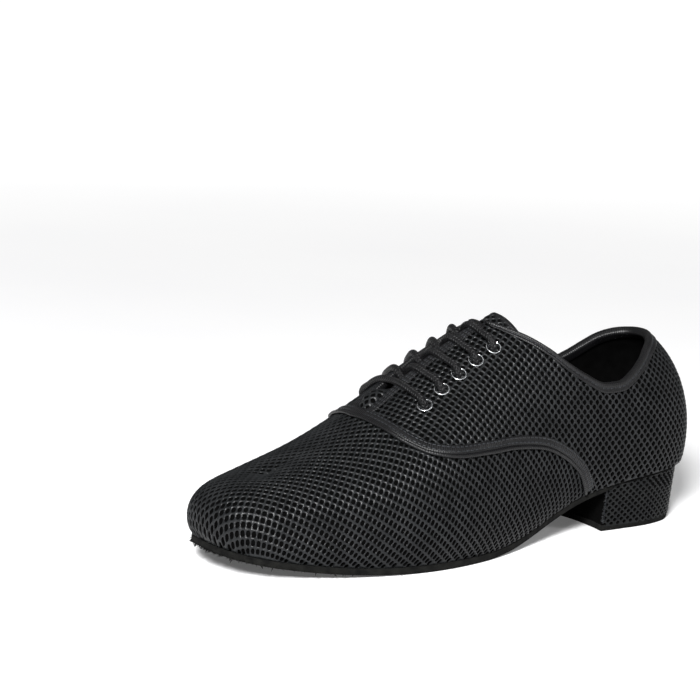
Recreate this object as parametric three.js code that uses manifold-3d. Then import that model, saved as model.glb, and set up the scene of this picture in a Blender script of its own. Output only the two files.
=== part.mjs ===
// A left ballroom dance shoe for a man: a closed-laced shoe of open mesh over a firm lining, on a
// thin suede sole with a low covered heel.
//
// x runs from the back of the heel to the toe, y to the outer side of the foot and z up from the
// floor, in millimetres. Everything that follows the foot is worked out from one ring of sections.
// A section is a plane that stands on the feather line, where upper and sole meet, and reaches the
// crest, the ridge line of the last. The sections fan round the toe and round the heel.
import * as THREE from "three";
import { mergeVertices } from "three/addons/utils/BufferGeometryUtils.js";
import Module from "manifold-3d";

const wasm = await Module();
wasm.setup();

// Driving sizes
const soleLength = 274; // feather line, heel to toe
const ballWidth = 98; // feather line across the ball
const heelHeight = 27; // floor to the underside of the sole, at the back
const toeSpring = 10; // floor to the underside of the sole, at the toe
const instepRise = 99; // sole to the crest at the top of the lacing
const backRise = 65; // sole to the collar, at the back
const sideBulge = 4; // how far the upper stands out past the feather line
const bulgeRise = 17; // height of that widest place above the feather line
const wall = 2.2; // mesh, foam and lining together
const quarterStep = 0.6; // the quarters lie over the vamp
const fit = 0.3; // gap between pieces that touch

const soleThickness = 3.4;
const soleMargin = 1.2; // how far the sole stands out past the feather line
const soleChamfer = 0.8;
const insoleThickness = 3;

const breastAlong = 0.228; // front of the heel, as a share of the sole's length
const padThickness = 3;
const padTaper = 0.4;
const heelInset = 1.6; // heel block inside the feather line, at its top
const heelTaper = 3; // and further in, at the floor
const heelFan = 0.1; // the heel's own sections fan round this place, a share of the sole's length
const breastHollow = 2.5; // the front face of the heel is hollow

const throatFront = 0.688; // front end of the lace opening, as a share of the sole's length
const throatRound = 5; // length of the opening's round front end
const throatGap = 5; // half the gap between the two facings
const collarBlend = 0.02;

const tapeThickness = 0.8;
const bindingWidth = 4.2; // tape over the collar's edge, on each face
const seamTapeWidth = 4.6; // tape along the front edge of the quarters
const beadRadius = 0.8; // the cord edge of that tape

const tongueThickness = 2.4;
const tongueHalfWidth = 25;
const tongueFront = 0.715;
const tongueBack = 0.405;
const tongueRise = 3; // its free end comes up between the facings

const laceDiameter = 3.6;
const eyeletCount = 5;
const firstEyelet = 0.617; // crest positions of the first and last eyelet
const lastEyelet = 0.461;
const firstEyeletDown = 28; // down the skin from the crest to an eyelet's centre
const lastEyeletDown = 23;
const eyeletRadius = 4;
const eyeletBore = 2.2;
const eyeletWall = 0.35;
const flangeThickness = 0.8;
const flangeRound = 0.3; // the flange's outer edge
const flangeLip = 0.6; // and its rolled inner edge
const holeSides = 12;
const eyeletSides = 10;

// Sections from the toe tip to the back of the heel. along and spine are shares of the sole's
// length: where the section stands on the feather line, and where it meets the crest. outer and
// inner are half widths as shares of the ball's width. full is the section's fullness, 2 for an
// ellipse. bulge and bulgeAt are shares of the bulge's size and height.
const sectionRows = [
  { along: 1.0, outer: 0.0, inner: 0.0, spine: 0.885, full: 2.3, bulge: 0.8, bulgeAt: 0.5 },
  { along: 0.994, outer: 0.118, inner: 0.155, spine: 0.884, full: 2.3, bulge: 0.8, bulgeAt: 0.5 },
  { along: 0.975, outer: 0.212, inner: 0.255, spine: 0.88, full: 2.3, bulge: 0.8, bulgeAt: 0.5 },
  { along: 0.945, outer: 0.28, inner: 0.33, spine: 0.871, full: 2.25, bulge: 0.75, bulgeAt: 0.52 },
  { along: 0.9, outer: 0.335, inner: 0.395, spine: 0.85, full: 2.2, bulge: 0.7, bulgeAt: 0.55 },
  { along: 0.84, outer: 0.388, inner: 0.455, spine: 0.812, full: 2.15, bulge: 0.65, bulgeAt: 0.6 },
  { along: 0.77, outer: 0.436, inner: 0.502, spine: 0.76, full: 2.1, bulge: 0.65, bulgeAt: 0.7 },
  { along: 0.7, outer: 0.468, inner: 0.52, spine: 0.7, full: 2.05, bulge: 0.75, bulgeAt: 0.8 },
  { along: 0.635, outer: 0.476, inner: 0.502, spine: 0.64, full: 1.95, bulge: 0.85, bulgeAt: 0.85 },
  { along: 0.565, outer: 0.452, inner: 0.442, spine: 0.573, full: 1.88, bulge: 0.95, bulgeAt: 0.9 },
  { along: 0.495, outer: 0.405, inner: 0.36, spine: 0.508, full: 1.84, bulge: 1.0, bulgeAt: 0.95 },
  { along: 0.42, outer: 0.352, inner: 0.3, spine: 0.437, full: 1.82, bulge: 1.1, bulgeAt: 1.0 },
  { along: 0.34, outer: 0.312, inner: 0.272, spine: 0.363, full: 1.86, bulge: 1.0, bulgeAt: 1.0 },
  { along: 0.262, outer: 0.296, inner: 0.278, spine: 0.293, full: 1.93, bulge: 0.85, bulgeAt: 1.0 },
  { along: 0.184, outer: 0.3, inner: 0.294, spine: 0.238, full: 1.95, bulge: 0.7, bulgeAt: 1.0 },
  { along: 0.113, outer: 0.294, inner: 0.29, spine: 0.197, full: 1.95, bulge: 0.55, bulgeAt: 1.0 },
  { along: 0.052, outer: 0.24, inner: 0.24, spine: 0.174, full: 1.95, bulge: 0.55, bulgeAt: 1.0 },
  { along: 0.013, outer: 0.13, inner: 0.13, spine: 0.164, full: 1.95, bulge: 0.55, bulgeAt: 1.0 },
  { along: 0.0, outer: 0.0, inner: 0.0, spine: 0.161, full: 1.95, bulge: 0.55, bulgeAt: 1.0 },
];

// The crest: height above the sole as a share of the instep's rise, and its shift to the inner side
// as a share of the ball's width.
const crestRows = [
  { along: 0.16, rise: 0.75, shift: 0 },
  { along: 0.21, rise: 0.83, shift: 0.004 },
  { along: 0.28, rise: 0.93, shift: 0.02 },
  { along: 0.35, rise: 0.99, shift: 0.05 },
  { along: 0.41, rise: 1.01, shift: 0.085 },
  { along: 0.46, rise: 0.99, shift: 0.105 },
  { along: 0.52, rise: 0.92, shift: 0.11 },
  { along: 0.58, rise: 0.82, shift: 0.105 },
  { along: 0.64, rise: 0.71, shift: 0.098 },
  { along: 0.7, rise: 0.605, shift: 0.085 },
  { along: 0.77, rise: 0.5, shift: 0.063 },
  { along: 0.84, rise: 0.41, shift: 0.04 },
  { along: 0.9, rise: 0.32, shift: 0.028 },
];

// Underside of the sole behind the tread, as a share of the heel's height.
const underRows = [
  { along: 0.0, lift: 1.0 },
  { along: 0.07, lift: 0.965 },
  { along: 0.14, lift: 0.905 },
  { along: 0.2, lift: 0.835 },
  { along: 0.255, lift: 0.74 },
  { along: 0.31, lift: 0.59 },
  { along: 0.365, lift: 0.39 },
  { along: 0.42, lift: 0.19 },
  { along: 0.47, lift: 0.06 },
  { along: 0.52, lift: 0.0 },
];
const treadFront = 0.67; // in front of here the sole turns up to the toe spring

// The collar's edge, by its section's place on the crest: height above the feather line, as a share
// of the back's rise, on the outer and the inner side.
const collarRows = [
  { spine: 0.161, outer: 1.0, inner: 1.0 },
  { spine: 0.174, outer: 0.985, inner: 0.985 },
  { spine: 0.19, outer: 0.95, inner: 0.955 },
  { spine: 0.207, outer: 0.895, inner: 0.905 },
  { spine: 0.231, outer: 0.82, inner: 0.845 },
  { spine: 0.254, outer: 0.775, inner: 0.815 },
  { spine: 0.28, outer: 0.795, inner: 0.84 },
  { spine: 0.313, outer: 0.91, inner: 0.945 },
  { spine: 0.346, outer: 1.06, inner: 1.085 },
  { spine: 0.369, outer: 1.19, inner: 1.205 },
  { spine: 0.4, outer: 1.34, inner: 1.34 },
  { spine: 0.445, outer: 1.51, inner: 1.51 },
];

// The front edge of the quarters, from the crest in front of the lacing to the feather line in
// front of the heel: how far up its section the edge lies, 1 at the crest and 0 at the feather line.
const seamRows = [
  { spine: 0.31, up: 0.0 },
  { spine: 0.335, up: 0.098 },
  { spine: 0.375, up: 0.214 },
  { spine: 0.426, up: 0.306 },
  { spine: 0.492, up: 0.37 },
  { spine: 0.544, up: 0.402 },
  { spine: 0.599, up: 0.442 },
  { spine: 0.648, up: 0.523 },
  { spine: 0.677, up: 0.645 },
  { spine: 0.69, up: 0.81 },
  { spine: 0.697, up: 1.0 },
];

// Smooth value of one column between the rows of a table, with no overshoot.
function fromTable(rows, key, column, at) {
  const last = rows.length - 1;
  const x = THREE.MathUtils.clamp(at, rows[0][key], rows[last][key]);
  let i = 0;
  while (i < last - 1 && x > rows[i + 1][key]) i++;
  const slope = (k) => (rows[k + 1][column] - rows[k][column]) / (rows[k + 1][key] - rows[k][key]);
  const tangent = (k) => {
    if (k === 0) return slope(0);
    if (k === last) return slope(last - 1);
    const before = slope(k - 1);
    const after = slope(k);
    return before * after <= 0 ? 0 : (2 * before * after) / (before + after);
  };
  const span = rows[i + 1][key] - rows[i][key];
  const u = (x - rows[i][key]) / span;
  const rest = 1 - u;
  return (
    rows[i][column] * rest * rest * (1 + 2 * u) +
    rows[i + 1][column] * u * u * (3 - 2 * u) +
    span * u * rest * (tangent(i) * rest - tangent(i + 1) * u)
  );
}

// Height of the sole's underside and of the surface that the upper stands on.
function soleUnder(x) {
  const along = x / soleLength;
  if (along > treadFront) return toeSpring * ((along - treadFront) / (1 - treadFront)) ** 2;
  return heelHeight * fromTable(underRows, "along", "lift", along);
}
const soleTop = (x) => soleUnder(x) + soleThickness;

// The ring of sections is counted from 0 at the toe tip, over the outer side, to heelSection at the
// back of the heel, and on over the inner side. Negative numbers count over the inner side too.
const heelSection = sectionRows.length - 1;
const ringCount = 2 * heelSection;
const isOuter = (r) => ((r % ringCount) + ringCount) % ringCount <= heelSection;

function ringRow(k) {
  const index = ((k % ringCount) + ringCount) % ringCount;
  const row = sectionRows[index <= heelSection ? index : ringCount - index];
  const half = index <= heelSection ? row.outer : -row.inner;
  return [row.along, half, row.spine, row.full, row.bulge, row.bulgeAt];
}

// One section at any place on the ring.
function section(r) {
  const k = Math.floor(r);
  const u = r - k;
  const rows = [-1, 0, 1, 2].map((step) => ringRow(k + step));
  const [along, half, spine, full, bulge, bulgeAt] = rows[0].map((_, column) => {
    const [a, b, c, d] = rows.map((row) => row[column]);
    return b + 0.5 * u * (c - a + u * (2 * a - 5 * b + 4 * c - d + u * (3 * (b - c) + d - a)));
  });
  const x = along * soleLength;
  const crestX = spine * soleLength;
  const foot = new THREE.Vector3(x, half * ballWidth, soleTop(x));
  const crest = new THREE.Vector3(
    crestX,
    -ballWidth * fromTable(crestRows, "along", "shift", spine),
    soleTop(crestX) + instepRise * fromTable(crestRows, "along", "rise", spine),
  );
  return { foot, crest, spine, full, bulge: bulge * sideBulge, bulgeAt: bulgeAt * bulgeRise };
}

// The outer skin of the upper: from the feather line at t 0 to the crest at t 1. The lowest share
// of a section rolls out to the bulge, and the rest is a quarter of a super-ellipse.
const rollShare = 0.12;
const rollStart = 0.5; // angle at which the skin leaves the feather line

function skinPoint(r, t) {
  const { foot, crest, full, bulge, bulgeAt } = section(r);
  const out = new THREE.Vector3().subVectors(foot, crest).setZ(0);
  const reach = out.length();
  let radius, height;
  if (t < rollShare) {
    const angle = rollStart + (t / rollShare) * (Math.PI / 2 - rollStart);
    const start = Math.sin(rollStart);
    radius = reach + (bulge * (Math.sin(angle) - start)) / (1 - start);
    height = bulgeAt * (1 - Math.cos(angle) / Math.cos(rollStart));
  } else {
    const angle = Math.min(1, (t - rollShare) / (1 - rollShare)) * (Math.PI / 2);
    radius = (reach + bulge) * Math.max(0, Math.cos(angle)) ** (2 / full);
    height = bulgeAt + (crest.z - foot.z - bulgeAt) * Math.sin(angle) ** (2 / full);
  }
  const point = out.multiplyScalar(radius / reach);
  return point.add(crest).setZ(foot.z + height);
}

// How far up a section its skin is at a height above the feather line, or at a distance from the
// crest.
function riseToT({ full, bulgeAt, foot, crest }, rise) {
  const share = (rise - bulgeAt) / (crest.z - foot.z - bulgeAt);
  const angle = Math.asin(THREE.MathUtils.clamp(share, 0, 1) ** (full / 2));
  return rollShare + ((1 - rollShare) * angle) / (Math.PI / 2);
}

function radiusToT({ full, bulge, foot, crest }, radius) {
  const reach = Math.hypot(foot.x - crest.x, foot.y - crest.y) + bulge;
  const angle = Math.acos(THREE.MathUtils.clamp(radius / reach, 0, 1) ** (full / 2));
  return rollShare + ((1 - rollShare) * angle) / (Math.PI / 2);
}

// Outward direction of the skin. At the crest both sides count, so that they meet.
const probe = 0.002;

function sideNormal(r, t) {
  const low = Math.max(0, t - probe);
  const high = Math.min(1, t + probe);
  const round = skinPoint(r + probe, t).sub(skinPoint(r - probe, t));
  const up = skinPoint(r, high).sub(skinPoint(r, low));
  return round.cross(up).normalize();
}

function skinNormal(r, t) {
  if (t < 1 - probe) return sideNormal(r, t);
  const below = 1 - 2 * probe;
  return sideNormal(r, below).add(sideNormal(-r, below)).normalize();
}

const skin = (r, t, offset) => skinPoint(r, t).addScaledVector(skinNormal(r, t), offset);

// The place on a section that lies some millimetres along the skin from t, up or down.
function alongSkin(r, t, distance) {
  const low = Math.max(0, t - probe);
  const high = Math.min(1, t + probe);
  const length = skinPoint(r, high).distanceTo(skinPoint(r, low)) / (high - low);
  return THREE.MathUtils.clamp(t + distance / length, 0, 1);
}

// The place on a section that lies some millimetres down the skin from its crest.
function downFromCrest(r, distance) {
  const steps = 60;
  let left = distance;
  let above = skinPoint(r, 1);
  for (let i = steps - 1; i > 0; i--) {
    const below = skinPoint(r, i / steps);
    const length = above.distanceTo(below);
    if (length > left) return (i + 1 - left / length) / steps;
    left -= length;
    above = below;
  }
  return 0;
}

// The first section of the outer side, from the toe, for which inFront no longer holds.
function findSection(inFront) {
  let front = 0;
  let back = heelSection;
  for (let step = 0; step < 40; step++) {
    const middle = (front + back) / 2;
    if (inFront(section(middle))) front = middle;
    else back = middle;
  }
  return (front + back) / 2;
}

// The section of the outer side whose crest is at a share of the sole's length.
const sectionAtSpine = (spine) => findSection((here) => here.spine > spine);

// The same place on the outer side for a section of either side.
const outerTwin = (r) => (r > heelSection ? ringCount - r : r);

// The upper edge of the upper in each section: the closed crest over the toes, then the facing's
// edge, then the collar.
function edgeT(r) {
  const here = section(r);
  const throatX = throatFront * soleLength;
  if (here.crest.x >= throatX - 1e-6) return 1;
  const into = Math.min(1, (throatX - here.crest.x) / throatRound);
  const facing = radiusToT(here, throatGap * Math.sqrt(into * (2 - into)));
  const last = collarRows[collarRows.length - 1].spine;
  if (here.spine > last) return facing;
  const share = fromTable(collarRows, "spine", isOuter(r) ? "outer" : "inner", here.spine);
  const collar = riseToT(here, share * backRise);
  // A soft minimum rounds the top corner of the facing.
  const apart = Math.max(0, 1 - Math.abs(facing - collar) / (4 * collarBlend));
  return Math.min(facing, collar) - collarBlend * apart * apart;
}

function seamT(r) {
  return fromTable(seamRows, "spine", "up", section(r).spine);
}

// Solids

// A solid of a closed surface. Corners that share a place become one.
function solidOf(geometry) {
  const bare = new THREE.BufferGeometry();
  bare.setAttribute("position", geometry.getAttribute("position"));
  bare.setIndex(geometry.index);
  const merged = mergeVertices(bare, 1e-3);
  const kept = [];
  for (let i = 0; i < merged.index.count; i += 3) {
    const [a, b, c] = [0, 1, 2].map((corner) => merged.index.getX(i + corner));
    if (a !== b && b !== c && c !== a) kept.push(a, b, c);
  }
  return new wasm.Manifold(
    new wasm.Mesh({
      numProp: 3,
      vertProperties: merged.attributes.position.array,
      triVerts: new Uint32Array(kept),
    }),
  );
}

function solidOfCorners(corners, triangles) {
  const geometry = new THREE.BufferGeometry().setFromPoints(corners);
  geometry.setIndex(triangles);
  return solidOf(geometry);
}

function geometryOf(solid) {
  const mesh = solid.getMesh();
  const geometry = new THREE.BufferGeometry();
  geometry.setAttribute("position", new THREE.BufferAttribute(mesh.vertProperties, 3));
  geometry.setIndex(new THREE.BufferAttribute(mesh.triVerts, 1));
  return geometry;
}

// One closed solid between two skins over the same sections and levels. Each strip is a run of
// sections in ring order. sealed says where the last level is shared by both sides.
function solidBetween(strips, levels, outer, inner, sealed, closed = false) {
  const corners = [];
  const triangles = [];
  const quad = (a, b, c, d) => triangles.push(a, b, c, a, c, d);
  const top = levels.length - 1;
  for (const strip of strips) {
    const grid = strip.map((r) =>
      levels.map((level) => {
        corners.push(outer(r, level), inner(r, level));
        return corners.length - 2;
      }),
    );
    const runs = closed ? strip.length : strip.length - 1;
    for (let j = 0; j < runs; j++) {
      const here = grid[j];
      const next = grid[(j + 1) % strip.length];
      for (let i = 0; i < top; i++) {
        quad(here[i], next[i], next[i + 1], here[i + 1]);
        quad(here[i + 1] + 1, next[i + 1] + 1, next[i] + 1, here[i] + 1);
      }
      quad(next[0], here[0], here[0] + 1, next[0] + 1);
      const shared = sealed(strip[j]) && sealed(strip[(j + 1) % strip.length]);
      if (!shared) quad(here[top], next[top], next[top] + 1, here[top] + 1);
    }
    if (closed) continue;
    const first = grid[0];
    const last = grid[strip.length - 1];
    for (let i = 0; i < top; i++) {
      quad(first[i], first[i + 1], first[i + 1] + 1, first[i] + 1);
      quad(last[i + 1], last[i], last[i] + 1, last[i + 1] + 1);
    }
  }
  return solidOfCorners(corners, triangles);
}

const spread = (from, to, count) =>
  Array.from({ length: count + 1 }, (_, i) => from + ((to - from) * i) / count);

// Runs of sections on both sides, between two places counted from the toe.
const bothSides = (from, to, count) => {
  const run = spread(from, to, count);
  return [run, run.map((r) => ringCount - r).reverse()];
};

const throatSection = sectionAtSpine(throatFront);
const seamFrontSection = sectionAtSpine(seamRows[seamRows.length - 1].spine);
const seamBackSection = sectionAtSpine(seamRows[0].spine);
const cornerSection = sectionAtSpine(collarRows[collarRows.length - 1].spine);

// Sections of the upper. The seam's front end and the lace opening each start on one, and they are
// closer where the edge turns.
function upperRing() {
  const run = [
    ...spread(0, seamFrontSection, 14),
    ...spread(seamFrontSection, throatSection, 3).slice(1),
    ...spread(throatSection, throatSection + 0.4, 4).slice(1),
    ...spread(throatSection + 0.4, cornerSection - 0.2, 8).slice(1),
    ...spread(cornerSection - 0.2, cornerSection + 0.7, 6).slice(1),
    ...spread(cornerSection + 0.7, seamBackSection, 4).slice(1),
    ...spread(seamBackSection, heelSection, 11).slice(1),
  ];
  const back = run.slice(1, -1).map((r) => ringCount - r);
  return [...run, ...back.reverse()];
}

// Levels of the upper: shares of the way to the seam, then of the way from the seam to the collar
// binding's lower edge, and then the upper edge itself.
const upperLevels = [
  ...[0, 0.12, 0.28, 0.5, 0.75, 1].map((vamp) => ({ vamp, quarter: 0 })),
  ...[0, 0.2, 0.4, 0.6, 0.8, 1].map((quarter) => ({ vamp: 1, quarter, lapped: true })),
  { vamp: 1, quarter: 1, lapped: true, edge: true },
];

const onQuarter = (r) => outerTwin(r) >= seamFrontSection - 1e-9;

function levelT(r, { vamp, quarter, edge }) {
  const top = edgeT(r);
  if (edge) return top;
  const seam = Math.min(seamT(r), top);
  const bound = Math.max(seam, alongSkin(r, top, -bindingWidth));
  return seam * vamp + (bound - seam) * quarter;
}

// A point inside the wall, kept level with the feather line at the bottom.
function lining(r, t, depth) {
  const point = skin(r, t, -depth);
  if (t === 0) point.z = skinPoint(r, 0).z;
  return point;
}

// The quarters lie over the vamp, so the wall is thicker behind the seam.
function upperShell() {
  return solidBetween(
    [upperRing()],
    upperLevels,
    (r, level) => lining(r, levelT(r, level), level.lapped && onQuarter(r) ? -quarterStep : 0),
    (r, level) => lining(r, levelT(r, level), wall),
    (r) => edgeT(r) === 1,
    true,
  );
}

// Eyelets sit in two rows along the facings.
const eyeletSpines = spread(firstEyelet, lastEyelet, eyeletCount - 1);

function eyeletPlace(row, side) {
  const outer = sectionAtSpine(eyeletSpines[row]);
  const r = side > 0 ? outer : ringCount - outer;
  const down = THREE.MathUtils.lerp(firstEyeletDown, lastEyeletDown, row / (eyeletCount - 1));
  const t = downFromCrest(r, down);
  return { r, t, at: skin(r, t, quarterStep), axis: skinNormal(r, t) };
}

const everyEyelet = [1, -1].flatMap((side) =>
  eyeletSpines.map((_, row) => ({ row, side, ...eyeletPlace(row, side) })),
);

const upright = new THREE.Vector3(0, 1, 0);

function turnTo(geometry, axis, at) {
  geometry.applyQuaternion(new THREE.Quaternion().setFromUnitVectors(upright, axis));
  return geometry.translate(at.x, at.y, at.z);
}

function upperSolid() {
  const holeRadius = (eyeletBore + eyeletWall + fit) / Math.cos(Math.PI / holeSides);
  let solid = upperShell();
  for (const { at, axis } of everyEyelet) {
    const drill = new THREE.CylinderGeometry(holeRadius, holeRadius, 4 * wall, holeSides);
    solid = solid.subtract(solidOf(turnTo(drill, axis, at)));
  }
  return solid;
}

// An eyelet: a rolled flange on the facing and a barrel through the wall.
function eyeletGeometry({ at, axis }) {
  const barrel = eyeletBore + eyeletWall;
  const depth = wall + quarterStep + fit;
  const low = fit;
  const high = fit + flangeThickness;
  const profile = [
    [eyeletBore, -depth],
    [barrel, -depth],
    [barrel, low],
    [eyeletRadius, low],
    [eyeletRadius - flangeRound, high],
    [eyeletBore + flangeLip, high],
    [eyeletBore, low],
    [eyeletBore, -depth],
  ].map(([radius, height]) => new THREE.Vector2(radius, height));
  return turnTo(new THREE.LatheGeometry(profile, eyeletSides), axis, at);
}

// A band that follows a line on the skin. profile gives each corner of its cross-section.
function bandSolid(columns, profile) {
  const corners = [];
  const triangles = [];
  const rings = columns.map((column) => {
    const start = corners.length;
    corners.push(...profile(column));
    return start;
  });
  const size = corners.length / columns.length;
  for (let j = 0; j < rings.length - 1; j++) {
    for (let i = 0; i < size; i++) {
      const n = (i + 1) % size;
      const [a, b, c, d] = [rings[j] + i, rings[j + 1] + i, rings[j + 1] + n, rings[j] + n];
      triangles.push(a, b, c, a, c, d);
    }
  }
  const cap = (start, flip) => {
    for (const [a, b, c] of capTriangles(size))
      triangles.push(start + a, start + (flip ? c : b), start + (flip ? b : c));
  };
  cap(rings[0], false);
  cap(rings[rings.length - 1], true);
  return solidOfCorners(corners, triangles);
}

// A cross-section is written as two equal rows of corners, one back along the other, so its end is
// a ladder of quads.
function capTriangles(size) {
  const found = [];
  for (let i = 0; i < size / 2 - 1; i++) {
    const [a, b, c, d] = [i, i + 1, size - 2 - i, size - 1 - i];
    found.push([a, b, c], [a, c, d]);
  }
  return found;
}

// Tape folded over the collar's edge, from one facing's top corner round the heel to the other. The
// fold is rounded: its corners lie at these shares of the way out to each face.
const foldOver = { outer: 0.6, inner: 0.8 };
const foldUnder = { outer: 0.7, inner: 0.85 };
const bindingStart = 0.008; // behind the facing's top corner, as a share of the sole's length

function collarBinding() {
  const start = sectionAtSpine(collarRows[collarRows.length - 1].spine - bindingStart);
  const columns = upperRing().filter((r) => r > start && r < ringCount - start);
  const near = quarterStep + fit;
  const far = wall + fit;
  return bandSolid(columns, (r) => {
    const edge = edgeT(r);
    const low = alongSkin(r, edge, -bindingWidth);
    const ahead = skinPoint(r + probe, edgeT(r + probe));
    const behind = skinPoint(r - probe, edgeT(r - probe));
    const out = skinNormal(r, edge).cross(ahead.sub(behind)).normalize();
    const rim = (offset, lift) => skin(r, edge, offset).addScaledVector(out, lift);
    return [
      skin(r, low, near + tapeThickness),
      rim(near + tapeThickness, fit),
      rim(near * foldOver.outer, fit + tapeThickness),
      rim(-far * foldOver.inner, fit + tapeThickness),
      rim(-far - tapeThickness, fit),
      skin(r, low, -far - tapeThickness),
      skin(r, low, -far),
      rim(-far, 0),
      rim(-far * foldUnder.inner, fit),
      rim(near * foldUnder.outer, fit),
      rim(near, 0),
      skin(r, low, near),
    ];
  });
}

// Cross-section of the tape along the front edge of the quarters: the distance behind the seam, and
// the height over the vamp. Its front edge is rolled round a cord.
const lowFace = fit;
const highFace = quarterStep + fit;
const tapeRows = [
  { behind: seamTapeWidth, over: highFace },
  { behind: seamTapeWidth, over: highFace + 0.8 * tapeThickness },
  { behind: 0.3, over: highFace + 1.1 * tapeThickness },
  { behind: -fit - 0.9 * beadRadius, over: lowFace + 2.0 * beadRadius },
  { behind: -fit - 1.7 * beadRadius, over: lowFace + 1.6 * beadRadius },
  { behind: -fit - 2.0 * beadRadius, over: lowFace + 0.4 * beadRadius },
  { behind: -fit - 1.7 * beadRadius, over: lowFace },
  { behind: -fit - 0.15, over: lowFace },
  { behind: -fit, over: highFace },
  { behind: 0.3, over: highFace },
];
const tapeEnd = 0.3; // the tape stops this much of a section short of the feather line

// It runs from the feather line on the outer side over the crest to the inner side.
function seamTape() {
  const inRun = (r) => r > seamFrontSection + 0.01 && r < seamBackSection - tapeEnd;
  const run = upperRing().filter(inRun);
  const columns = [...[...run].reverse(), seamFrontSection, ...run.map((r) => ringCount - r)];
  return bandSolid(columns, (r) => {
    const seam = seamT(r);
    const along = seamDirection(r);
    return tapeRows.map(({ behind, over }) => {
      const at = acrossSeam(r, seam, along, behind);
      return skin(at.r, at.t, over);
    });
  });
}

// Direction of the seam, and the place that lies so many millimetres across it.
function seamDirection(r) {
  if (seamT(r) === 1) return new THREE.Vector3(0, 1, 0); // straight over the crest
  const along = skinPoint(r + probe, seamT(r + probe)).sub(skinPoint(r - probe, seamT(r - probe)));
  return along.normalize();
}

function acrossSeam(r, t, along, distance) {
  const roundStep = skinPoint(r + probe, t).sub(skinPoint(r - probe, t)).divideScalar(2 * probe);
  const low = Math.max(0, t - probe);
  const high = Math.min(1 - 1e-6, t + probe);
  const upStep = skinPoint(r, high).sub(skinPoint(r, low)).divideScalar(high - low);
  const across = skinNormal(r, t).cross(along).normalize();
  // Solve roundStep * dr + upStep * dt = across * distance in the plane of the skin.
  const a = roundStep.dot(roundStep);
  const b = roundStep.dot(upStep);
  const c = upStep.dot(upStep);
  const p = roundStep.dot(across) * distance;
  const q = upStep.dot(across) * distance;
  const det = a * c - b * b;
  return { r: r + (p * c - q * b) / det, t: THREE.MathUtils.clamp(t + (q * a - p * b) / det, 0, 1) };
}

// The tongue: a padded tab that starts under the vamp and stands up past the facings. Between the
// facings it leaves room for the lace to run under them.
function tongueSolid() {
  const front = sectionAtSpine(tongueFront);
  const back = sectionAtSpine(tongueBack);
  const drop = (r, v) => {
    const lacing = THREE.MathUtils.smoothstep(outerTwin(r), front, front + 1.2);
    const free = THREE.MathUtils.smoothstep(outerTwin(r), back - 1, back);
    const middle = THREE.MathUtils.smoothstep(v, 0.55, 1);
    return wall + 4 * fit + lacing * laceDiameter - free * middle * tongueRise;
  };
  const place = (r, v) => {
    const share = (outerTwin(r) - front) / (back - front);
    const corner = Math.max(0, (share - 0.8) / 0.2);
    const half = tongueHalfWidth * (1 - 0.45 * corner * corner);
    return THREE.MathUtils.lerp(downFromCrest(r, half), 1, v);
  };
  return solidBetween(
    bothSides(front, back, 16),
    [0, 0.3, 0.62, 0.85, 1],
    (r, v) => skin(r, place(r, v), -drop(r, v)),
    (r, v) => skin(r, place(r, v), -drop(r, v) - tongueThickness),
    () => true,
  );
}

// A slab over the sole's outline. reachOf moves its edge out past the feather line or in from it.
function slabSolid(strips, levels, top, bottom, topReach, bottomReach, closed) {
  const plan = (r, v, reach) => {
    const { foot, crest } = section(r);
    const round = section(r + probe).foot.sub(section(r - probe).foot).setZ(0).normalize();
    const out = new THREE.Vector3(-round.y, round.x, 0).negate();
    return foot.addScaledVector(out, reach).lerp(crest, v);
  };
  return solidBetween(
    strips,
    levels,
    (r, v) => {
      const p = plan(r, v, topReach(r));
      return p.setZ(top(p.x));
    },
    (r, v) => {
      const p = plan(r, v, bottomReach(r));
      return p.setZ(bottom(p.x));
    },
    () => true,
    closed,
  );
}

const slabLevels = [0, 0.5, 1];
const wholeRing = spread(0, ringCount, 72).slice(0, -1);

// The sole's edge shows round the forepart and draws in at the waist and the heel.
function marginAt(r) {
  const { foot } = section(r);
  const share = foot.x / soleLength;
  const waist = THREE.MathUtils.smoothstep(share, 0.36, 0.58);
  return soleMargin * (0.1 + 0.9 * waist);
}

function outsoleSolid() {
  return slabSolid(
    [wholeRing],
    slabLevels,
    (x) => soleTop(x) - fit,
    soleUnder,
    marginAt,
    (r) => marginAt(r) - soleChamfer,
    true,
  );
}

function insoleSolid() {
  const inside = () => -wall - fit;
  return slabSolid(
    [wholeRing],
    slabLevels,
    (x) => soleTop(x) + insoleThickness,
    (x) => soleTop(x),
    inside,
    inside,
    true,
  );
}

// The heel's block and its suede pad share one outline, which draws in towards the floor.
const breastSection = findSection((here) => here.foot.x > breastAlong * soleLength);
const heelRun = spread(breastSection, heelSection, 13);

function heelSlab(top, bottom, topInset, bottomInset) {
  const back = heelRun.slice(0, -1).map((r) => ringCount - r);
  const strip = [...heelRun, ...back.reverse()];
  const hollow = (p, v, r) => {
    const near = Math.max(0, 1 - (outerTwin(r) - heelRun[0]) / (heelRun[1] - heelRun[0]));
    return p.setX(p.x - breastHollow * near * (1 - (1 - v) ** 2));
  };
  const plan = (r, v, inset) => {
    const { foot } = section(r);
    const middle = new THREE.Vector3(Math.max(foot.x, heelFan * soleLength), 0, 0);
    const round = section(r + probe).foot.sub(section(r - probe).foot).setZ(0).normalize();
    const out = new THREE.Vector3(round.y, -round.x, 0);
    return hollow(foot.addScaledVector(out, -inset).lerp(middle, v), v, r);
  };
  return solidBetween(
    [strip],
    [0, 0.5, 1],
    (r, v) => {
      const p = plan(r, v, topInset);
      return p.setZ(top(p.x));
    },
    (r, v) => {
      const p = plan(r, v, bottomInset);
      return p.setZ(bottom(p.x));
    },
    () => true,
  );
}

const heelBlock = () =>
  heelSlab(
    (x) => soleUnder(x) - fit,
    () => padThickness + fit,
    heelInset,
    heelInset + heelTaper,
  );

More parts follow.
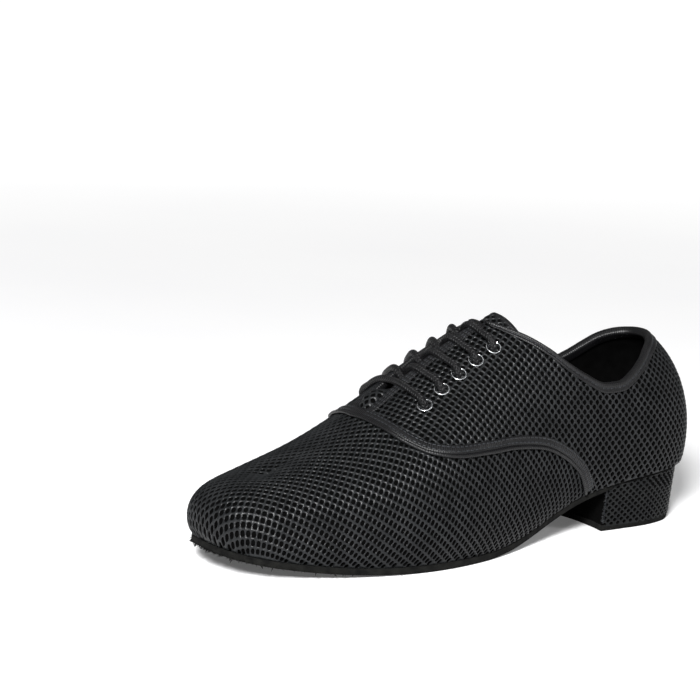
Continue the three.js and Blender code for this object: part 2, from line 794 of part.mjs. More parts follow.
const heelPad = () =>
  heelSlab(
    () => padThickness,
    () => 0,
    heelInset + heelTaper,
    heelInset + heelTaper + padTaper,
  );

// Lace

// A place over the facings: a crest position, a signed distance down from it, outer side positive,
// and a height over the skin.
function overFacings(spine, down, height) {
  const outer = sectionAtSpine(spine);
  const r = down >= 0 ? outer : ringCount - outer;
  return skin(r, downFromCrest(r, Math.abs(down)), height);
}

const laceRadius = laceDiameter / 2;
const laceLift = quarterStep + fit + laceRadius; // centre of a lace that lies on a facing
const overFlange = laceLift + flangeThickness + fit;
const laceSides = 8;
const laceStep = 1.6 * laceDiameter;

function tube(points) {
  const path = new THREE.CatmullRomCurve3(points, false, "centripetal");
  const ring = new THREE.Shape();
  for (let i = 0; i < laceSides; i++) {
    const angle = (2 * Math.PI * i) / laceSides;
    const [x, y] = [laceRadius * Math.cos(angle), laceRadius * Math.sin(angle)];
    if (i === 0) ring.moveTo(x, y);
    else ring.lineTo(x, y);
  }
  const steps = Math.ceil(path.getLength() / laceStep);
  const geometry = new THREE.ExtrudeGeometry(ring, { steps, extrudePath: path });
  return solidOf(geometry);
}

// A lace leaves an eyelet over its flange and comes down on to the facing.
const clearOfFlange = eyeletRadius + 1;
const downOnFacing = eyeletRadius + 6;

function fromEyelet(row, side) {
  const down = THREE.MathUtils.lerp(firstEyeletDown, lastEyeletDown, row / (eyeletCount - 1));
  const spine = eyeletSpines[row];
  return [
    overFacings(spine, side * down, overFlange),
    overFacings(spine, side * (down - clearOfFlange), overFlange),
    overFacings(spine, side * (down - downOnFacing), laceLift + fit),
  ];
}

// The lowest lace is a straight bar over both facings.
const barShoulder = 9;

function laceBar() {
  const spine = eyeletSpines[0];
  const middle = [barShoulder, 0, -barShoulder].map((down) => overFacings(spine, down, laceLift));
  return tube([...fromEyelet(0, 1), ...middle, ...fromEyelet(0, -1).reverse()]);
}

// Above it two laces cross in the gap, and each runs over a facing to its eyelet. ahead is the share
// of the way to the next row in front, down is millimetres from the crest on the lace's own side,
// and sink is how far it lies below a lace on the facing.
const crossRows = [
  { ahead: 0.3, down: 9, sink: 0 },
  { ahead: 0.425, down: 4, sink: 0.3 },
  { ahead: 0.5, down: 0, sink: 1 },
  { ahead: 0.56, down: -1.6, sink: 1.5 },
];

function laceLeg(row, side) {
  const course = crossRows.map(({ ahead, down, sink }) => {
    const spine = THREE.MathUtils.lerp(eyeletSpines[row], eyeletSpines[row - 1], ahead);
    return overFacings(spine, side * down, laceLift - sink);
  });
  return tube([...fromEyelet(row, side), ...course]);
}

const laceCross = (row) => laceLeg(row, 1).add(laceLeg(row, -1));

// Finishes
const meshCloth = new THREE.MeshStandardMaterial({ color: 0x1a1b1d, roughness: 0.7 });
const tapeCloth = new THREE.MeshStandardMaterial({ color: 0x1d1f21, roughness: 0.6 });
const tongueCloth = new THREE.MeshStandardMaterial({ color: 0x1a1b1d, roughness: 0.7 });
const sockLining = new THREE.MeshStandardMaterial({ color: 0x121212, roughness: 0.8 });
const suede = new THREE.MeshStandardMaterial({ color: 0x101010, roughness: 0.95 });
const heelCloth = new THREE.MeshStandardMaterial({ color: 0x17181a, roughness: 0.7 });
const cordBraid = new THREE.MeshStandardMaterial({ color: 0x141414, roughness: 0.6 });
const nickel = new THREE.MeshStandardMaterial({ color: 0xc9ccd0, roughness: 0.25, metalness: 1 });

const shoe = new THREE.Group();

function addPiece(name, geometry, material) {
  const mesh = new THREE.Mesh(geometry, material);
  mesh.name = name;
  shoe.add(mesh);
}

addPiece("upper", geometryOf(upperSolid()), meshCloth);
addPiece("collar_binding", geometryOf(collarBinding()), tapeCloth);
addPiece("seam_tape", geometryOf(seamTape()), tapeCloth);
addPiece("tongue", geometryOf(tongueSolid()), tongueCloth);
addPiece("insole", geometryOf(insoleSolid()), sockLining);
addPiece("outsole", geometryOf(outsoleSolid()), suede);
addPiece("heel_block", geometryOf(heelBlock()), heelCloth);
addPiece("heel_pad", geometryOf(heelPad()), suede);
for (const eyelet of everyEyelet) {
  const name = `eyelet_${eyelet.side > 0 ? "outer" : "inner"}_${eyelet.row + 1}`;
  addPiece(name, eyeletGeometry(eyelet), nickel);
}
addPiece("lace_bar_1", geometryOf(laceBar()), cordBraid);
for (let row = 1; row < eyeletCount; row++)
  addPiece(`lace_cross_${row + 1}`, geometryOf(laceCross(row)), cordBraid);

// The origin is the middle of the shoe's own box, on the floor.
const box = new THREE.Box3().setFromObject(shoe, true);
const centre = box.getCenter(new THREE.Vector3());
shoe.position.set(-centre.x, -centre.y, 0);

export default shoe;
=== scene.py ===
# %% [markdown]
# # A ballroom dance shoe for the left foot
# The shoe is a black practice shoe: open mesh cloth sewn to a thin foam and lining, bound with
# smooth tape, on a suede sole with a low covered heel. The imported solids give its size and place.
# This file dresses them. Everything is in metres, x runs from heel to toe, y to the outer side of
# the foot and z up from the floor.

# %% Load the frame
import math

import bpy
import numpy as np
from mathutils import Matrix, Vector
from mathutils.bvhtree import BVHTree


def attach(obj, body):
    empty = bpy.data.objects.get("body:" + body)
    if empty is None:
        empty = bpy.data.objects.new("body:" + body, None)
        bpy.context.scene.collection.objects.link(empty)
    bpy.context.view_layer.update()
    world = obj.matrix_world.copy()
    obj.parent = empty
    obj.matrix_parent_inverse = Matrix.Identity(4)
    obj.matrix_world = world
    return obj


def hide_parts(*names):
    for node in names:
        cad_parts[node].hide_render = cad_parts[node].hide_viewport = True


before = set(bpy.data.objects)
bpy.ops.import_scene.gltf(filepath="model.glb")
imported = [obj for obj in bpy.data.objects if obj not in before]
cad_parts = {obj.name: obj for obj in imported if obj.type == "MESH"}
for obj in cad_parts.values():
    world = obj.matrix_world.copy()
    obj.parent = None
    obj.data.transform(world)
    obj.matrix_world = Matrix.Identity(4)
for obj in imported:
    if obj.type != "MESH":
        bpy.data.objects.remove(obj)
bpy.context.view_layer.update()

# %% [markdown]
# ## The camera
# The photograph was taken from the outer side, a little ahead of the shoe and a little above it,
# with a long lens. The camera looks from one point to another and is then rolled slightly.

# %% Camera
MM = 0.001
camera_at = Vector((0.6405, 0.8626, 0.2766))
camera_looks_at = Vector((0.0371, -0.0367, 0.0894))
camera_roll = math.radians(1.82)
camera = bpy.data.objects.new("camera", bpy.data.cameras.new("camera"))
camera.data.sensor_width = 36
camera.data.lens = 116
look = (camera_looks_at - camera_at).to_track_quat("-Z", "Y").to_matrix()
rolled = look @ Matrix.Rotation(camera_roll, 3, "Z")
camera.matrix_world = Matrix.Translation(camera_at) @ rolled.to_4x4()
bpy.context.scene.collection.objects.link(camera)
bpy.context.scene.camera = camera

# %% [markdown]
# ## The last
# A shoemaker works over a last, a solid foot form. Here the last is a ring of upright sections that
# fan round the toe and round the heel. Each section stands on the feather line, where upper and
# sole meet, and reaches the crest, the ridge line on top. The tables are the ones that the solids
# were made from, so cloth laid on this last fits them.

# %% Sizes of the last
sole_length = 274.0
ball_width = 98.0
heel_height = 27.0
toe_spring = 10.0
instep_rise = 99.0
back_rise = 65.0
side_bulge = 4.0
bulge_rise = 17.0
sole_thickness = 3.4
wall = 2.2
quarter_step = 0.6
clearance = 0.3
tread_front = 0.67
origin = np.array([-137.203, 1.986, 0.0])

# Sections from toe to heel: place on the feather line, outer and inner half width, place on the
# crest, fullness, size of the bulge and its height.
section_rows = np.array([
    [1.0, 0.0, 0.0, 0.885, 2.3, 0.8, 0.5],
    [0.994, 0.118, 0.155, 0.884, 2.3, 0.8, 0.5],
    [0.975, 0.212, 0.255, 0.88, 2.3, 0.8, 0.5],
    [0.945, 0.28, 0.33, 0.871, 2.25, 0.75, 0.52],
    [0.9, 0.335, 0.395, 0.85, 2.2, 0.7, 0.55],
    [0.84, 0.388, 0.455, 0.812, 2.15, 0.65, 0.6],
    [0.77, 0.436, 0.502, 0.76, 2.1, 0.65, 0.7],
    [0.7, 0.468, 0.52, 0.7, 2.05, 0.75, 0.8],
    [0.635, 0.476, 0.502, 0.64, 1.95, 0.85, 0.85],
    [0.565, 0.452, 0.442, 0.573, 1.88, 0.95, 0.9],
    [0.495, 0.405, 0.36, 0.508, 1.84, 1.0, 0.95],
    [0.42, 0.352, 0.3, 0.437, 1.82, 1.1, 1.0],
    [0.34, 0.312, 0.272, 0.363, 1.86, 1.0, 1.0],
    [0.262, 0.296, 0.278, 0.293, 1.93, 0.85, 1.0],
    [0.184, 0.3, 0.294, 0.238, 1.95, 0.7, 1.0],
    [0.113, 0.294, 0.29, 0.197, 1.95, 0.55, 1.0],
    [0.052, 0.24, 0.24, 0.174, 1.95, 0.55, 1.0],
    [0.013, 0.13, 0.13, 0.164, 1.95, 0.55, 1.0],
    [0.0, 0.0, 0.0, 0.161, 1.95, 0.55, 1.0],
])
# The crest: place, rise and shift to the inner side.
crest_rows = np.array([
    [0.16, 0.75, 0.0], [0.21, 0.83, 0.004], [0.28, 0.93, 0.02], [0.35, 0.99, 0.05],
    [0.41, 1.01, 0.085], [0.46, 0.99, 0.105], [0.52, 0.92, 0.11], [0.58, 0.82, 0.105],
    [0.64, 0.71, 0.098], [0.7, 0.605, 0.085], [0.77, 0.5, 0.063], [0.84, 0.41, 0.04],
    [0.9, 0.32, 0.028],
])
# The sole's underside behind the tread: place and lift.
under_rows = np.array([
    [0.0, 1.0], [0.07, 0.965], [0.14, 0.905], [0.2, 0.835], [0.255, 0.74], [0.31, 0.59],
    [0.365, 0.39], [0.42, 0.19], [0.47, 0.06], [0.52, 0.0],
])
# The collar's edge: place on the crest, height on the outer and on the inner side.
collar_rows = np.array([
    [0.161, 1.0, 1.0], [0.174, 0.985, 0.985], [0.19, 0.95, 0.955], [0.207, 0.895, 0.905],
    [0.231, 0.82, 0.845], [0.254, 0.775, 0.815], [0.28, 0.795, 0.84], [0.313, 0.91, 0.945],
    [0.346, 1.06, 1.085], [0.369, 1.19, 1.205], [0.4, 1.34, 1.34], [0.445, 1.51, 1.51],
])
# The front edge of the quarters: place on the crest, share of the way up the section.
seam_rows = np.array([
    [0.31, 0.0], [0.335, 0.098], [0.375, 0.214], [0.426, 0.306], [0.492, 0.37], [0.544, 0.402],
    [0.599, 0.442], [0.648, 0.523], [0.677, 0.645], [0.69, 0.81], [0.697, 1.0],
])

# %% Read a table
def from_table(rows, column, at):
    """Smooth value of one column between the rows of a table, with no overshoot."""
    xs, ys = rows[:, 0], rows[:, column]
    slope = np.diff(ys) / np.diff(xs)
    tangent = np.concatenate([slope[:1], np.zeros(len(xs) - 2), slope[-1:]])
    for k in range(1, len(xs) - 1):
        before, after = slope[k - 1], slope[k]
        if before * after > 0:
            tangent[k] = 2 * before * after / (before + after)
    x = np.clip(at, xs[0], xs[-1])
    i = np.clip(np.searchsorted(xs, x, side="right") - 1, 0, len(xs) - 2)
    span = xs[i + 1] - xs[i]
    u = (x - xs[i]) / span
    rest = 1 - u
    ends = ys[i] * rest**2 * (1 + 2 * u) + ys[i + 1] * u**2 * (3 - 2 * u)
    return ends + span * u * rest * (tangent[i] * rest - tangent[i + 1] * u)


def sole_under(x):
    """Height of the sole's underside."""
    along = x / sole_length
    toe = toe_spring * (np.maximum(0, along - tread_front) / (1 - tread_front)) ** 2
    return np.where(along > tread_front, toe, heel_height * from_table(under_rows, 1, along))


def sole_top(x):
    return sole_under(x) + sole_thickness


# %% One section of the last
HEEL = len(section_rows) - 1
RING = 2 * HEEL
ring_index = np.arange(RING)
ring_row = section_rows[np.where(ring_index <= HEEL, ring_index, RING - ring_index)]
ring_half = np.where(ring_index <= HEEL, ring_row[:, 1], -ring_row[:, 2])
ring_table = np.column_stack([ring_row[:, 0], ring_half, ring_row[:, 3:]])


def section(r):
    """Foot, crest and form of the section at r, counted from the toe round the outer side."""
    r = np.asarray(r, float)
    k = np.floor(r).astype(int)
    u = (r - k)[..., None]
    a, b, c, d = (ring_table[(k + step) % RING] for step in (-1, 0, 1, 2))
    row = b + 0.5 * u * (c - a + u * (2 * a - 5 * b + 4 * c - d + u * (3 * (b - c) + d - a)))
    x, spine = row[..., 0] * sole_length, row[..., 2]
    crest_x = spine * sole_length
    foot = np.stack([x, row[..., 1] * ball_width, sole_top(x)], -1)
    rise = instep_rise * from_table(crest_rows, 1, spine)
    shift = -ball_width * from_table(crest_rows, 2, spine)
    crest = np.stack([crest_x, shift, sole_top(crest_x) + rise], -1)
    return foot, crest, spine, row[..., 3], row[..., 4] * side_bulge, row[..., 5] * bulge_rise


# %% The skin of the last
roll_share, roll_start, probe = 0.12, 0.5, 0.002


def skin_point(r, t):
    """A point of the skin: t is 0 at the feather line and 1 at the crest."""
    r, t = np.broadcast_arrays(np.asarray(r, float), np.asarray(t, float))
    foot, crest, _, full, bulge, bulge_at = section(r)
    out = (foot - crest) * [1, 1, 0]
    reach = np.linalg.norm(out, axis=-1)
    low = roll_start + t / roll_share * (math.pi / 2 - roll_start)
    start = math.sin(roll_start)
    low_radius = reach + bulge * (np.sin(low) - start) / (1 - start)
    low_height = bulge_at * (1 - np.cos(low) / math.cos(roll_start))
    high = np.clip((t - roll_share) / (1 - roll_share), 0, 1) * (math.pi / 2)
    power = 2 / full
    high_radius = (reach + bulge) * np.maximum(0, np.cos(high)) ** power
    high_height = bulge_at + (crest[..., 2] - foot[..., 2] - bulge_at) * np.sin(high) ** power
    rolls = t < roll_share
    radius = np.where(rolls, low_radius, high_radius)
    height = np.where(rolls, low_height, high_height)
    point = out * (radius / reach)[..., None] + crest
    point[..., 2] = foot[..., 2] + height
    return point


def unit(vectors):
    return vectors / np.maximum(np.linalg.norm(vectors, axis=-1, keepdims=True), 1e-12)


def side_normal(r, t):
    low, high = np.maximum(0, t - probe), np.minimum(1, t + probe)
    around = skin_point(r + probe, t) - skin_point(r - probe, t)
    return unit(np.cross(around, skin_point(r, high) - skin_point(r, low)))


def skin_normal(r, t):
    """Outward direction of the skin. At the crest both sides count, so that they meet."""
    r, t = np.broadcast_arrays(np.asarray(r, float), np.asarray(t, float))
    below = np.full_like(t, 1 - 2 * probe)
    both = unit(side_normal(r, below) + side_normal(-r, below))
    return np.where((t < 1 - probe)[..., None], side_normal(r, np.minimum(t, 1 - probe)), both)


def skin(r, t, offset=0.0):
    offset = np.broadcast_to(offset, np.broadcast(r, t).shape)
    return skin_point(r, t) + skin_normal(r, t) * offset[..., None]


def round_and_out(r):
    """Two level directions at the feather line: round the shoe and straight out of it."""
    around = unit((section(r + probe)[0] - section(r - probe)[0]) * [1, 1, 0])
    return around, np.stack([around[..., 1], -around[..., 0], around[..., 2] * 0], -1)


def to_metres(points):
    return (points + origin) * MM


def lengths_along(points):
    """Real length from the first point of a path to each of its points."""
    return np.concatenate([[0], np.cumsum(np.linalg.norm(np.diff(points, axis=0), axis=1))])


# %% Lines on the skin
def smooth_step(x, low, high):
    u = np.clip((x - low) / (high - low), 0, 1)
    return u * u * (3 - 2 * u)


def outer_twin(r):
    return np.where(r > HEEL, RING - r, r)


def is_outer(r):
    return np.mod(r, RING) <= HEEL


def section_at(spine):
    """The section of the outer side whose crest is at a share of the sole's length."""
    front, back = 0.0, float(HEEL)
    for _ in range(40):
        middle = (front + back) / 2
        if section(middle)[2] > spine:
            front = middle
        else:
            back = middle
    return (front + back) / 2


throat_front, throat_round, throat_gap, collar_blend = 0.688, 5.0, 5.0, 0.02


def edge_t(r):
    """Upper edge of the upper: the closed crest, then the facing's edge, then the collar."""
    r = np.asarray(r, float)
    foot, crest, spine, full, bulge, bulge_at = section(r)
    into = np.clip((throat_front * sole_length - crest[..., 0]) / throat_round, 0, 1)
    reach = np.hypot(foot[..., 0] - crest[..., 0], foot[..., 1] - crest[..., 1]) + bulge
    gap = throat_gap * np.sqrt(into * (2 - into))
    angle = np.arccos(np.clip(gap / reach, 0, 1) ** (full / 2))
    facing = roll_share + (1 - roll_share) * angle / (math.pi / 2)
    outer, inner = from_table(collar_rows, 1, spine), from_table(collar_rows, 2, spine)
    rise = np.where(is_outer(r), outer, inner) * back_rise
    share = (rise - bulge_at) / (crest[..., 2] - foot[..., 2] - bulge_at)
    angle = np.arcsin(np.clip(share, 0, 1) ** (full / 2))
    collar = roll_share + (1 - roll_share) * angle / (math.pi / 2)
    apart = np.maximum(0, 1 - np.abs(facing - collar) / (4 * collar_blend))
    behind = np.minimum(facing, collar) - collar_blend * apart**2
    return np.where(into <= 1e-7, 1.0, np.where(spine > collar_rows[-1, 0], facing, behind))


def seam_t(r):
    """The quarters' front edge."""
    return from_table(seam_rows, 1, section(r)[2])


def along_skin(r, t, distance):
    """The place some millimetres up the skin from t, or down it."""
    low, high = np.maximum(0, t - probe), np.minimum(1, t + probe)
    step = np.linalg.norm(skin_point(r, high) - skin_point(r, low), axis=-1)
    return np.clip(t + distance * (high - low) / step, 0, 1)


def down_from_crest(r, distance, steps=60):
    """The place some millimetres down the skin from the crest."""
    r, distance = np.broadcast_arrays(np.asarray(r, float), np.asarray(distance, float))
    levels = np.linspace(1, 0, steps + 1)
    points = skin_point(r[..., None], levels)
    lengths = np.cumsum(np.linalg.norm(np.diff(points, axis=-2), axis=-1), axis=-1)
    lengths = np.concatenate([np.zeros(r.shape + (1,)), lengths], -1)
    flat = zip(distance.ravel(), lengths.reshape(-1, steps + 1))
    return np.array([np.interp(d, row, levels) for d, row in flat]).reshape(r.shape)


throat_section = section_at(throat_front)
seam_front = section_at(seam_rows[-1, 0])
seam_back = section_at(seam_rows[0, 0])
corner_section = section_at(collar_rows[-1, 0])
print("sections of throat, seam front, seam back, corner",
      [round(v, 3) for v in (throat_section, seam_front, seam_back, corner_section)])

# %% [markdown]
# ## Laying a sheet on the last
# Cloth, tape, lining and cord all start as a plain grid. Its corners are then put where a function
# says, which is what a shoemaker does when pulling flat cloth over the last. The grid keeps a UV map
# in millimetres of real cloth, so that every pattern can be given its true size.

# %% Helper for a laid sheet
def select_only(piece):
    bpy.ops.object.select_all(action="DESELECT")
    piece.select_set(True)
    bpy.context.view_layer.objects.active = piece


def lay_sheet(name, columns, rows, place, merge=2e-5):
    """A grid whose corners lie at place(column, row), with a UV map in millimetres."""
    columns, rows = np.asarray(columns, float), np.asarray(rows, float)
    nu, nv = len(columns) - 1, len(rows) - 1
    bpy.ops.object.select_all(action="DESELECT")
    bpy.ops.mesh.primitive_grid_add(x_subdivisions=nu, y_subdivisions=nv, size=1)
    piece = bpy.context.object
    piece.name = piece.data.name = name
    mesh = piece.data
    flat = np.empty(3 * len(mesh.vertices))
    mesh.vertices.foreach_get("co", flat)
    i = np.rint((flat[0::3] + 0.5) * nu).astype(int)
    j = np.rint((flat[1::3] + 0.5) * nv).astype(int)
    grid = place(columns[:, None], rows[None, :])
    mesh.vertices.foreach_set("co", to_metres(grid[i, j]).ravel())
    length_u = np.linalg.norm(np.diff(grid, axis=0), axis=-1).mean(1)
    length_v = np.linalg.norm(np.diff(grid, axis=1), axis=-1).mean(0)
    across_u = np.concatenate([[0], np.cumsum(length_u)])
    across_v = np.concatenate([[0], np.cumsum(length_v)])
    corner = np.empty(len(mesh.loops), int)
    mesh.loops.foreach_get("vertex_index", corner)
    uv = np.column_stack([across_u[i[corner]], across_v[j[corner]]])
    mesh.uv_layers.active.data.foreach_set("uv", uv.ravel())
    if merge:
        select_only(piece)
        bpy.ops.object.mode_set(mode="EDIT")
        bpy.ops.mesh.select_all(action="SELECT")
        bpy.ops.mesh.remove_doubles(threshold=merge)
        bpy.ops.mesh.normals_make_consistent(inside=False)
        bpy.ops.object.mode_set(mode="OBJECT")
    mesh.shade_smooth()
    return piece


def close_ends(piece):
    """Closes the open ends of a tube and turns its faces outwards."""
    select_only(piece)
    bpy.ops.object.mode_set(mode="EDIT")
    bpy.ops.mesh.select_all(action="SELECT")
    bpy.ops.mesh.fill_holes(sides=0)
    bpy.ops.mesh.normals_make_consistent(inside=False)
    bpy.ops.object.mode_set(mode="OBJECT")
    return piece


def face_outwards(piece):
    """Turns an open sheet over where its faces look into the shoe."""
    mesh = piece.data
    heart = sum((v.co for v in mesh.vertices), Vector()) / len(mesh.vertices)
    votes = sum(p.area * p.normal.dot(p.center - heart) for p in mesh.polygons)
    if votes < 0:
        mesh.flip_normals()
    return piece


def thicken(piece, thickness, offset=-1.0):
    """Gives a sheet its real thickness."""
    select_only(piece)
    modifier = piece.modifiers.new("thickness", "SOLIDIFY")
    modifier.thickness = thickness * MM
    modifier.offset = offset
    bpy.ops.object.modifier_apply(modifier=modifier.name)
    return piece


def finish_piece(piece, material, slot, *nodes):
    """Rides a finished piece on the shoe, with its material and the solids that it stands for."""
    piece.data.materials.append(material)
    if material in (mesh_yarn, shaded_heel_yarn):
        # Painted shade: the near-black lining goes on the inner flanks and walls of the holes, in place
        # of yarn.
        piece.data.materials.append(lining_and_hole_shade)  # the walls of the holes, which lie in shadow
    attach(piece, "root")
    if nodes:
        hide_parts(*nodes)
    faces = sum(len(p.vertices) - 2 for p in piece.data.polygons)
    print(piece.name, faces, "triangles")
    return piece


# %% [markdown]
# ## Materials
# Black cloth is never quite black: it shows its form through sheen and through the light that each
# thread catches. Every finish below starts from what the real material is.

# %% Helper for materials
def colour(hex_text):
    """A linear colour from an sRGB hex value."""
    parts = [int(hex_text[i:i + 2], 16) / 255 for i in (1, 3, 5)]
    linear = [c / 12.92 if c <= 0.04045 else ((c + 0.055) / 1.055) ** 2.4 for c in parts]
    return (*linear, 1.0)


def add_node(tree, kind, settings=None, inputs=None, links=None):
    """A node with its settings, its input values and its links from other nodes' sockets."""
    node = tree.nodes.new(kind)
    for key, value in (settings or {}).items():
        setattr(node, key, value)
    for key, value in (inputs or {}).items():
        node.inputs[key].default_value = value
    for key, socket in (links or {}).items():
        tree.links.new(socket, node.inputs[key])
    return node


def new_material(name, **shader):
    """A material with one principled shader and the given values on its sockets."""
    material = bpy.data.materials.new(name)
    material.use_nodes = True
    tree = material.node_tree
    principled = tree.nodes["Principled BSDF"]
    for key, value in shader.items():
        principled.inputs[key.replace("_", " ")].default_value = value
    return material, tree, principled


def mottle(tree, socket, low, high, scale_mm, coordinates):
    """Lets a colour wander between two values over patches of a real size."""
    noise = add_node(tree, "ShaderNodeTexNoise", inputs={"Scale": 1000 / scale_mm, "Detail": 3.0},
                     links={"Vector": coordinates})
    ramp = add_node(tree, "ShaderNodeValToRGB", links={"Fac": noise.outputs["Fac"]})
    ramp.color_ramp.elements[0].position = 0.35
    ramp.color_ramp.elements[0].color = low
    ramp.color_ramp.elements[1].position = 0.65
    ramp.color_ramp.elements[1].color = high
    tree.links.new(ramp.outputs["Color"], socket)


def bump_from(tree, shader, height, strength, depth_mm):
    """Lets a pattern raise the surface by a real depth."""
    bump = add_node(tree, "ShaderNodeBump", inputs={"Strength": strength, "Distance": depth_mm * MM},
                    links={"Height": height})
    tree.links.new(bump.outputs["Normal"], shader.inputs["Normal"])


def grained(name, low, high, patch_mm, grain=None, **shader):
    """A material whose colour wanders over patches, with a fine grain where it has one.

    grain holds the grain's size in millimetres, its detail, its strength and its depth in millimetres.
    """
    material, tree, principled = new_material(name, **shader)
    place = add_node(tree, "ShaderNodeTexCoord").outputs["Object"]
    mottle(tree, principled.inputs["Base Color"], colour(low), colour(high), patch_mm, place)
    if grain:
        grain_mm, detail, strength, depth_mm = grain
        noise = add_node(tree, "ShaderNodeTexNoise", inputs={"Scale": 1000 / grain_mm, "Detail": detail},
                         links={"Vector": place})
        bump_from(tree, principled, noise.outputs["Fac"], strength, depth_mm)
    return material, tree, principled


def stripes(tree, width_mm, vector, distortion=0.0):
    """Even stripes of a real width along a piece's UV map."""
    return add_node(tree, "ShaderNodeTexWave", {"bands_direction": "X"},
                    {"Scale": 2 * math.pi / 20 / width_mm, "Distortion": distortion}, {"Vector": vector})


# %% Mesh yarn
# Polyester yarn, textured and dyed black. It is soft but a little shiny, so the knots of the mesh
# catch small bright points while the holes stay dark. The heel's yarn is pulled flat, and it gets a
# slightly darker, less shiny copy of the same yarn as painted shade.
yarn_grain = (0.45, 2.0, 0.5, 0.12)
mesh_yarn, _, _ = grained("polyester_mesh_yarn", "#111213", "#1a1b1c", 9.0, yarn_grain,
                          Roughness=0.3, Specular_IOR_Level=0.14)
shaded_heel_yarn, _, _ = grained("heel_mesh_yarn_painted_shade", "#101112", "#181919", 9.0, yarn_grain,
                          Roughness=0.3, Specular_IOR_Level=0.06)

# %% Lining
# Brushed polyester lining over thin foam: matt and almost black, with a fine even pile.
# The same near-black material also covers the yarn walls of the mesh holes, as painted shade.
lining_and_hole_shade, _, _ = grained("brushed_lining_and_hole_shade", "#020202", "#040404", 6.0, (0.6, 3.0, 0.4, 0.1),
                             Roughness=0.9, Specular_IOR_Level=0.02)

# %% Binding tape
# Woven nylon tape with a soft coating. It has a low, even shine, and a faint rib runs across it.
binding_tape, tree, shader = grained("coated_nylon_tape", "#080809", "#0e0e0f", 12.0,
                                     Roughness=0.33, Specular_IOR_Level=0.22)
uv = add_node(tree, "ShaderNodeTexCoord").outputs["UV"]
ribs = stripes(tree, 1.2, uv, 0.6)
bump_from(tree, shader, ribs.outputs["Fac"], 0.6, 0.2)

# %% Sewing thread
# Bonded polyester thread, paler than the tape that it lies on, so that each stitch shows.
sewing_thread, _, _ = grained("bonded_thread", "#17181a", "#232528", 3.0,
                              Roughness=0.4, Specular_IOR_Level=0.2)

# %% Suede
# Split leather with a raised nap, dyed through. It drinks the light, and the nap only blooms a
# little where its fibres stand against it.
sole_suede, _, _ = grained("napped_suede", "#0a0a0a", "#141413", 5.0, (0.5, 4.0, 0.6, 0.3),
                           Roughness=0.95, Specular_IOR_Level=0.0, Sheen_Weight=0.01, Sheen_Roughness=0.6)

# %% Nickel
# Eyelets with bright nickel plate: a sharp shine that is a little cloudy here and there.
nickel, _, _ = grained("nickel_plate", "#b0b3b6", "#cfd1d3", 2.0, Roughness=0.25, Metallic=1.0)

# %% Lace cord
# Round braided polyester cord. Its strands lie beside each other and cross at a slant, and the
# higher of the two shows at each place.
lace_cord, tree, shader = grained("braided_polyester_cord", "#0c0c0d", "#141415", 4.0,
                                  Roughness=0.4, Specular_IOR_Level=0.12)
uv = add_node(tree, "ShaderNodeTexCoord").outputs["UV"]
strands = []
for slant in (35, -35):
    turned = add_node(tree, "ShaderNodeMapping", inputs={"Rotation": (0, 0, math.radians(slant))},
                      links={"Vector": uv})
    strands.append(stripes(tree, 1.4, turned.outputs["Vector"]))
braid = add_node(tree, "ShaderNodeMath", {"operation": "MAXIMUM"},
                 links={0: strands[0].outputs["Fac"], 1: strands[1].outputs["Fac"]})
bump_from(tree, shader, braid.outputs["Value"], 1.0, 0.5)

# %% [markdown]
# ## The lining shell
# Under the open mesh lies a closed shell of thin foam and lining. It is what shows dark through the
# holes and what shows inside the collar. It is laid as one sheet over the whole last and then given
# its thickness.

# %% Lining shell
mesh_depth = 0.9


def quarter_columns(along_facing, round_corner, along_collar):
    """Sections from the throat back to the heel, closer where the upper's edge turns."""
    return np.concatenate([
        throat_section + (np.linspace(0, 1, 11) ** 2)[:-1] * 0.5,
        np.linspace(throat_section + 0.5, corner_section - 0.2, along_facing)[:-1],
        np.linspace(corner_section - 0.2, corner_section + 0.8, round_corner)[:-1],
        np.linspace(corner_section + 0.8, HEEL, along_collar),
    ])


def over_vamp(r, t):
    """Extra height of the quarters over the vamp, as a soft step behind the seam."""
    behind = np.where(outer_twin(r) >= seam_front, t - seam_t(outer_twin(r)), -1.0)
    return quarter_step * smooth_step(behind, -0.012, 0.004)


def lining_place(r, v):
    r, v = np.broadcast_arrays(r, v)
    t = v * edge_t(r)
    point = skin(r, t, over_vamp(r, t) - mesh_depth)
    point[..., 2] = np.where(t <= 0, skin_point(r, t)[..., 2], point[..., 2])
    return point


lining_run = np.concatenate([
    np.linspace(0, seam_front, 26)[:-1],
    np.linspace(seam_front, throat_section, 5)[:-1],
    quarter_columns(14, 18, 28),
])
lining_columns = np.concatenate([lining_run, RING - lining_run[-2::-1]])
lining = lay_sheet("upper_lining", lining_columns, np.linspace(0, 1, 33), lining_place)
face_outwards(lining)
thicken(lining, wall - mesh_depth)
finish_piece(lining, lining_and_hole_shade, "sock_lining", "upper")

# %% [markdown]
# ## Cutting the mesh cloth
# The upper's cloth is a warp-knit mesh with rows of round holes that stand on a slant, so that four
# yarns meet in a small raised knot between four holes. A panel is first laid on the last as a plain
# sheet and then flattened with Blender's unwrap, which is how a maker takes a flat pattern from a
# last. The holes are set out on the flat pattern and carried back to the last, so that they keep
# their size and bend with the panel.

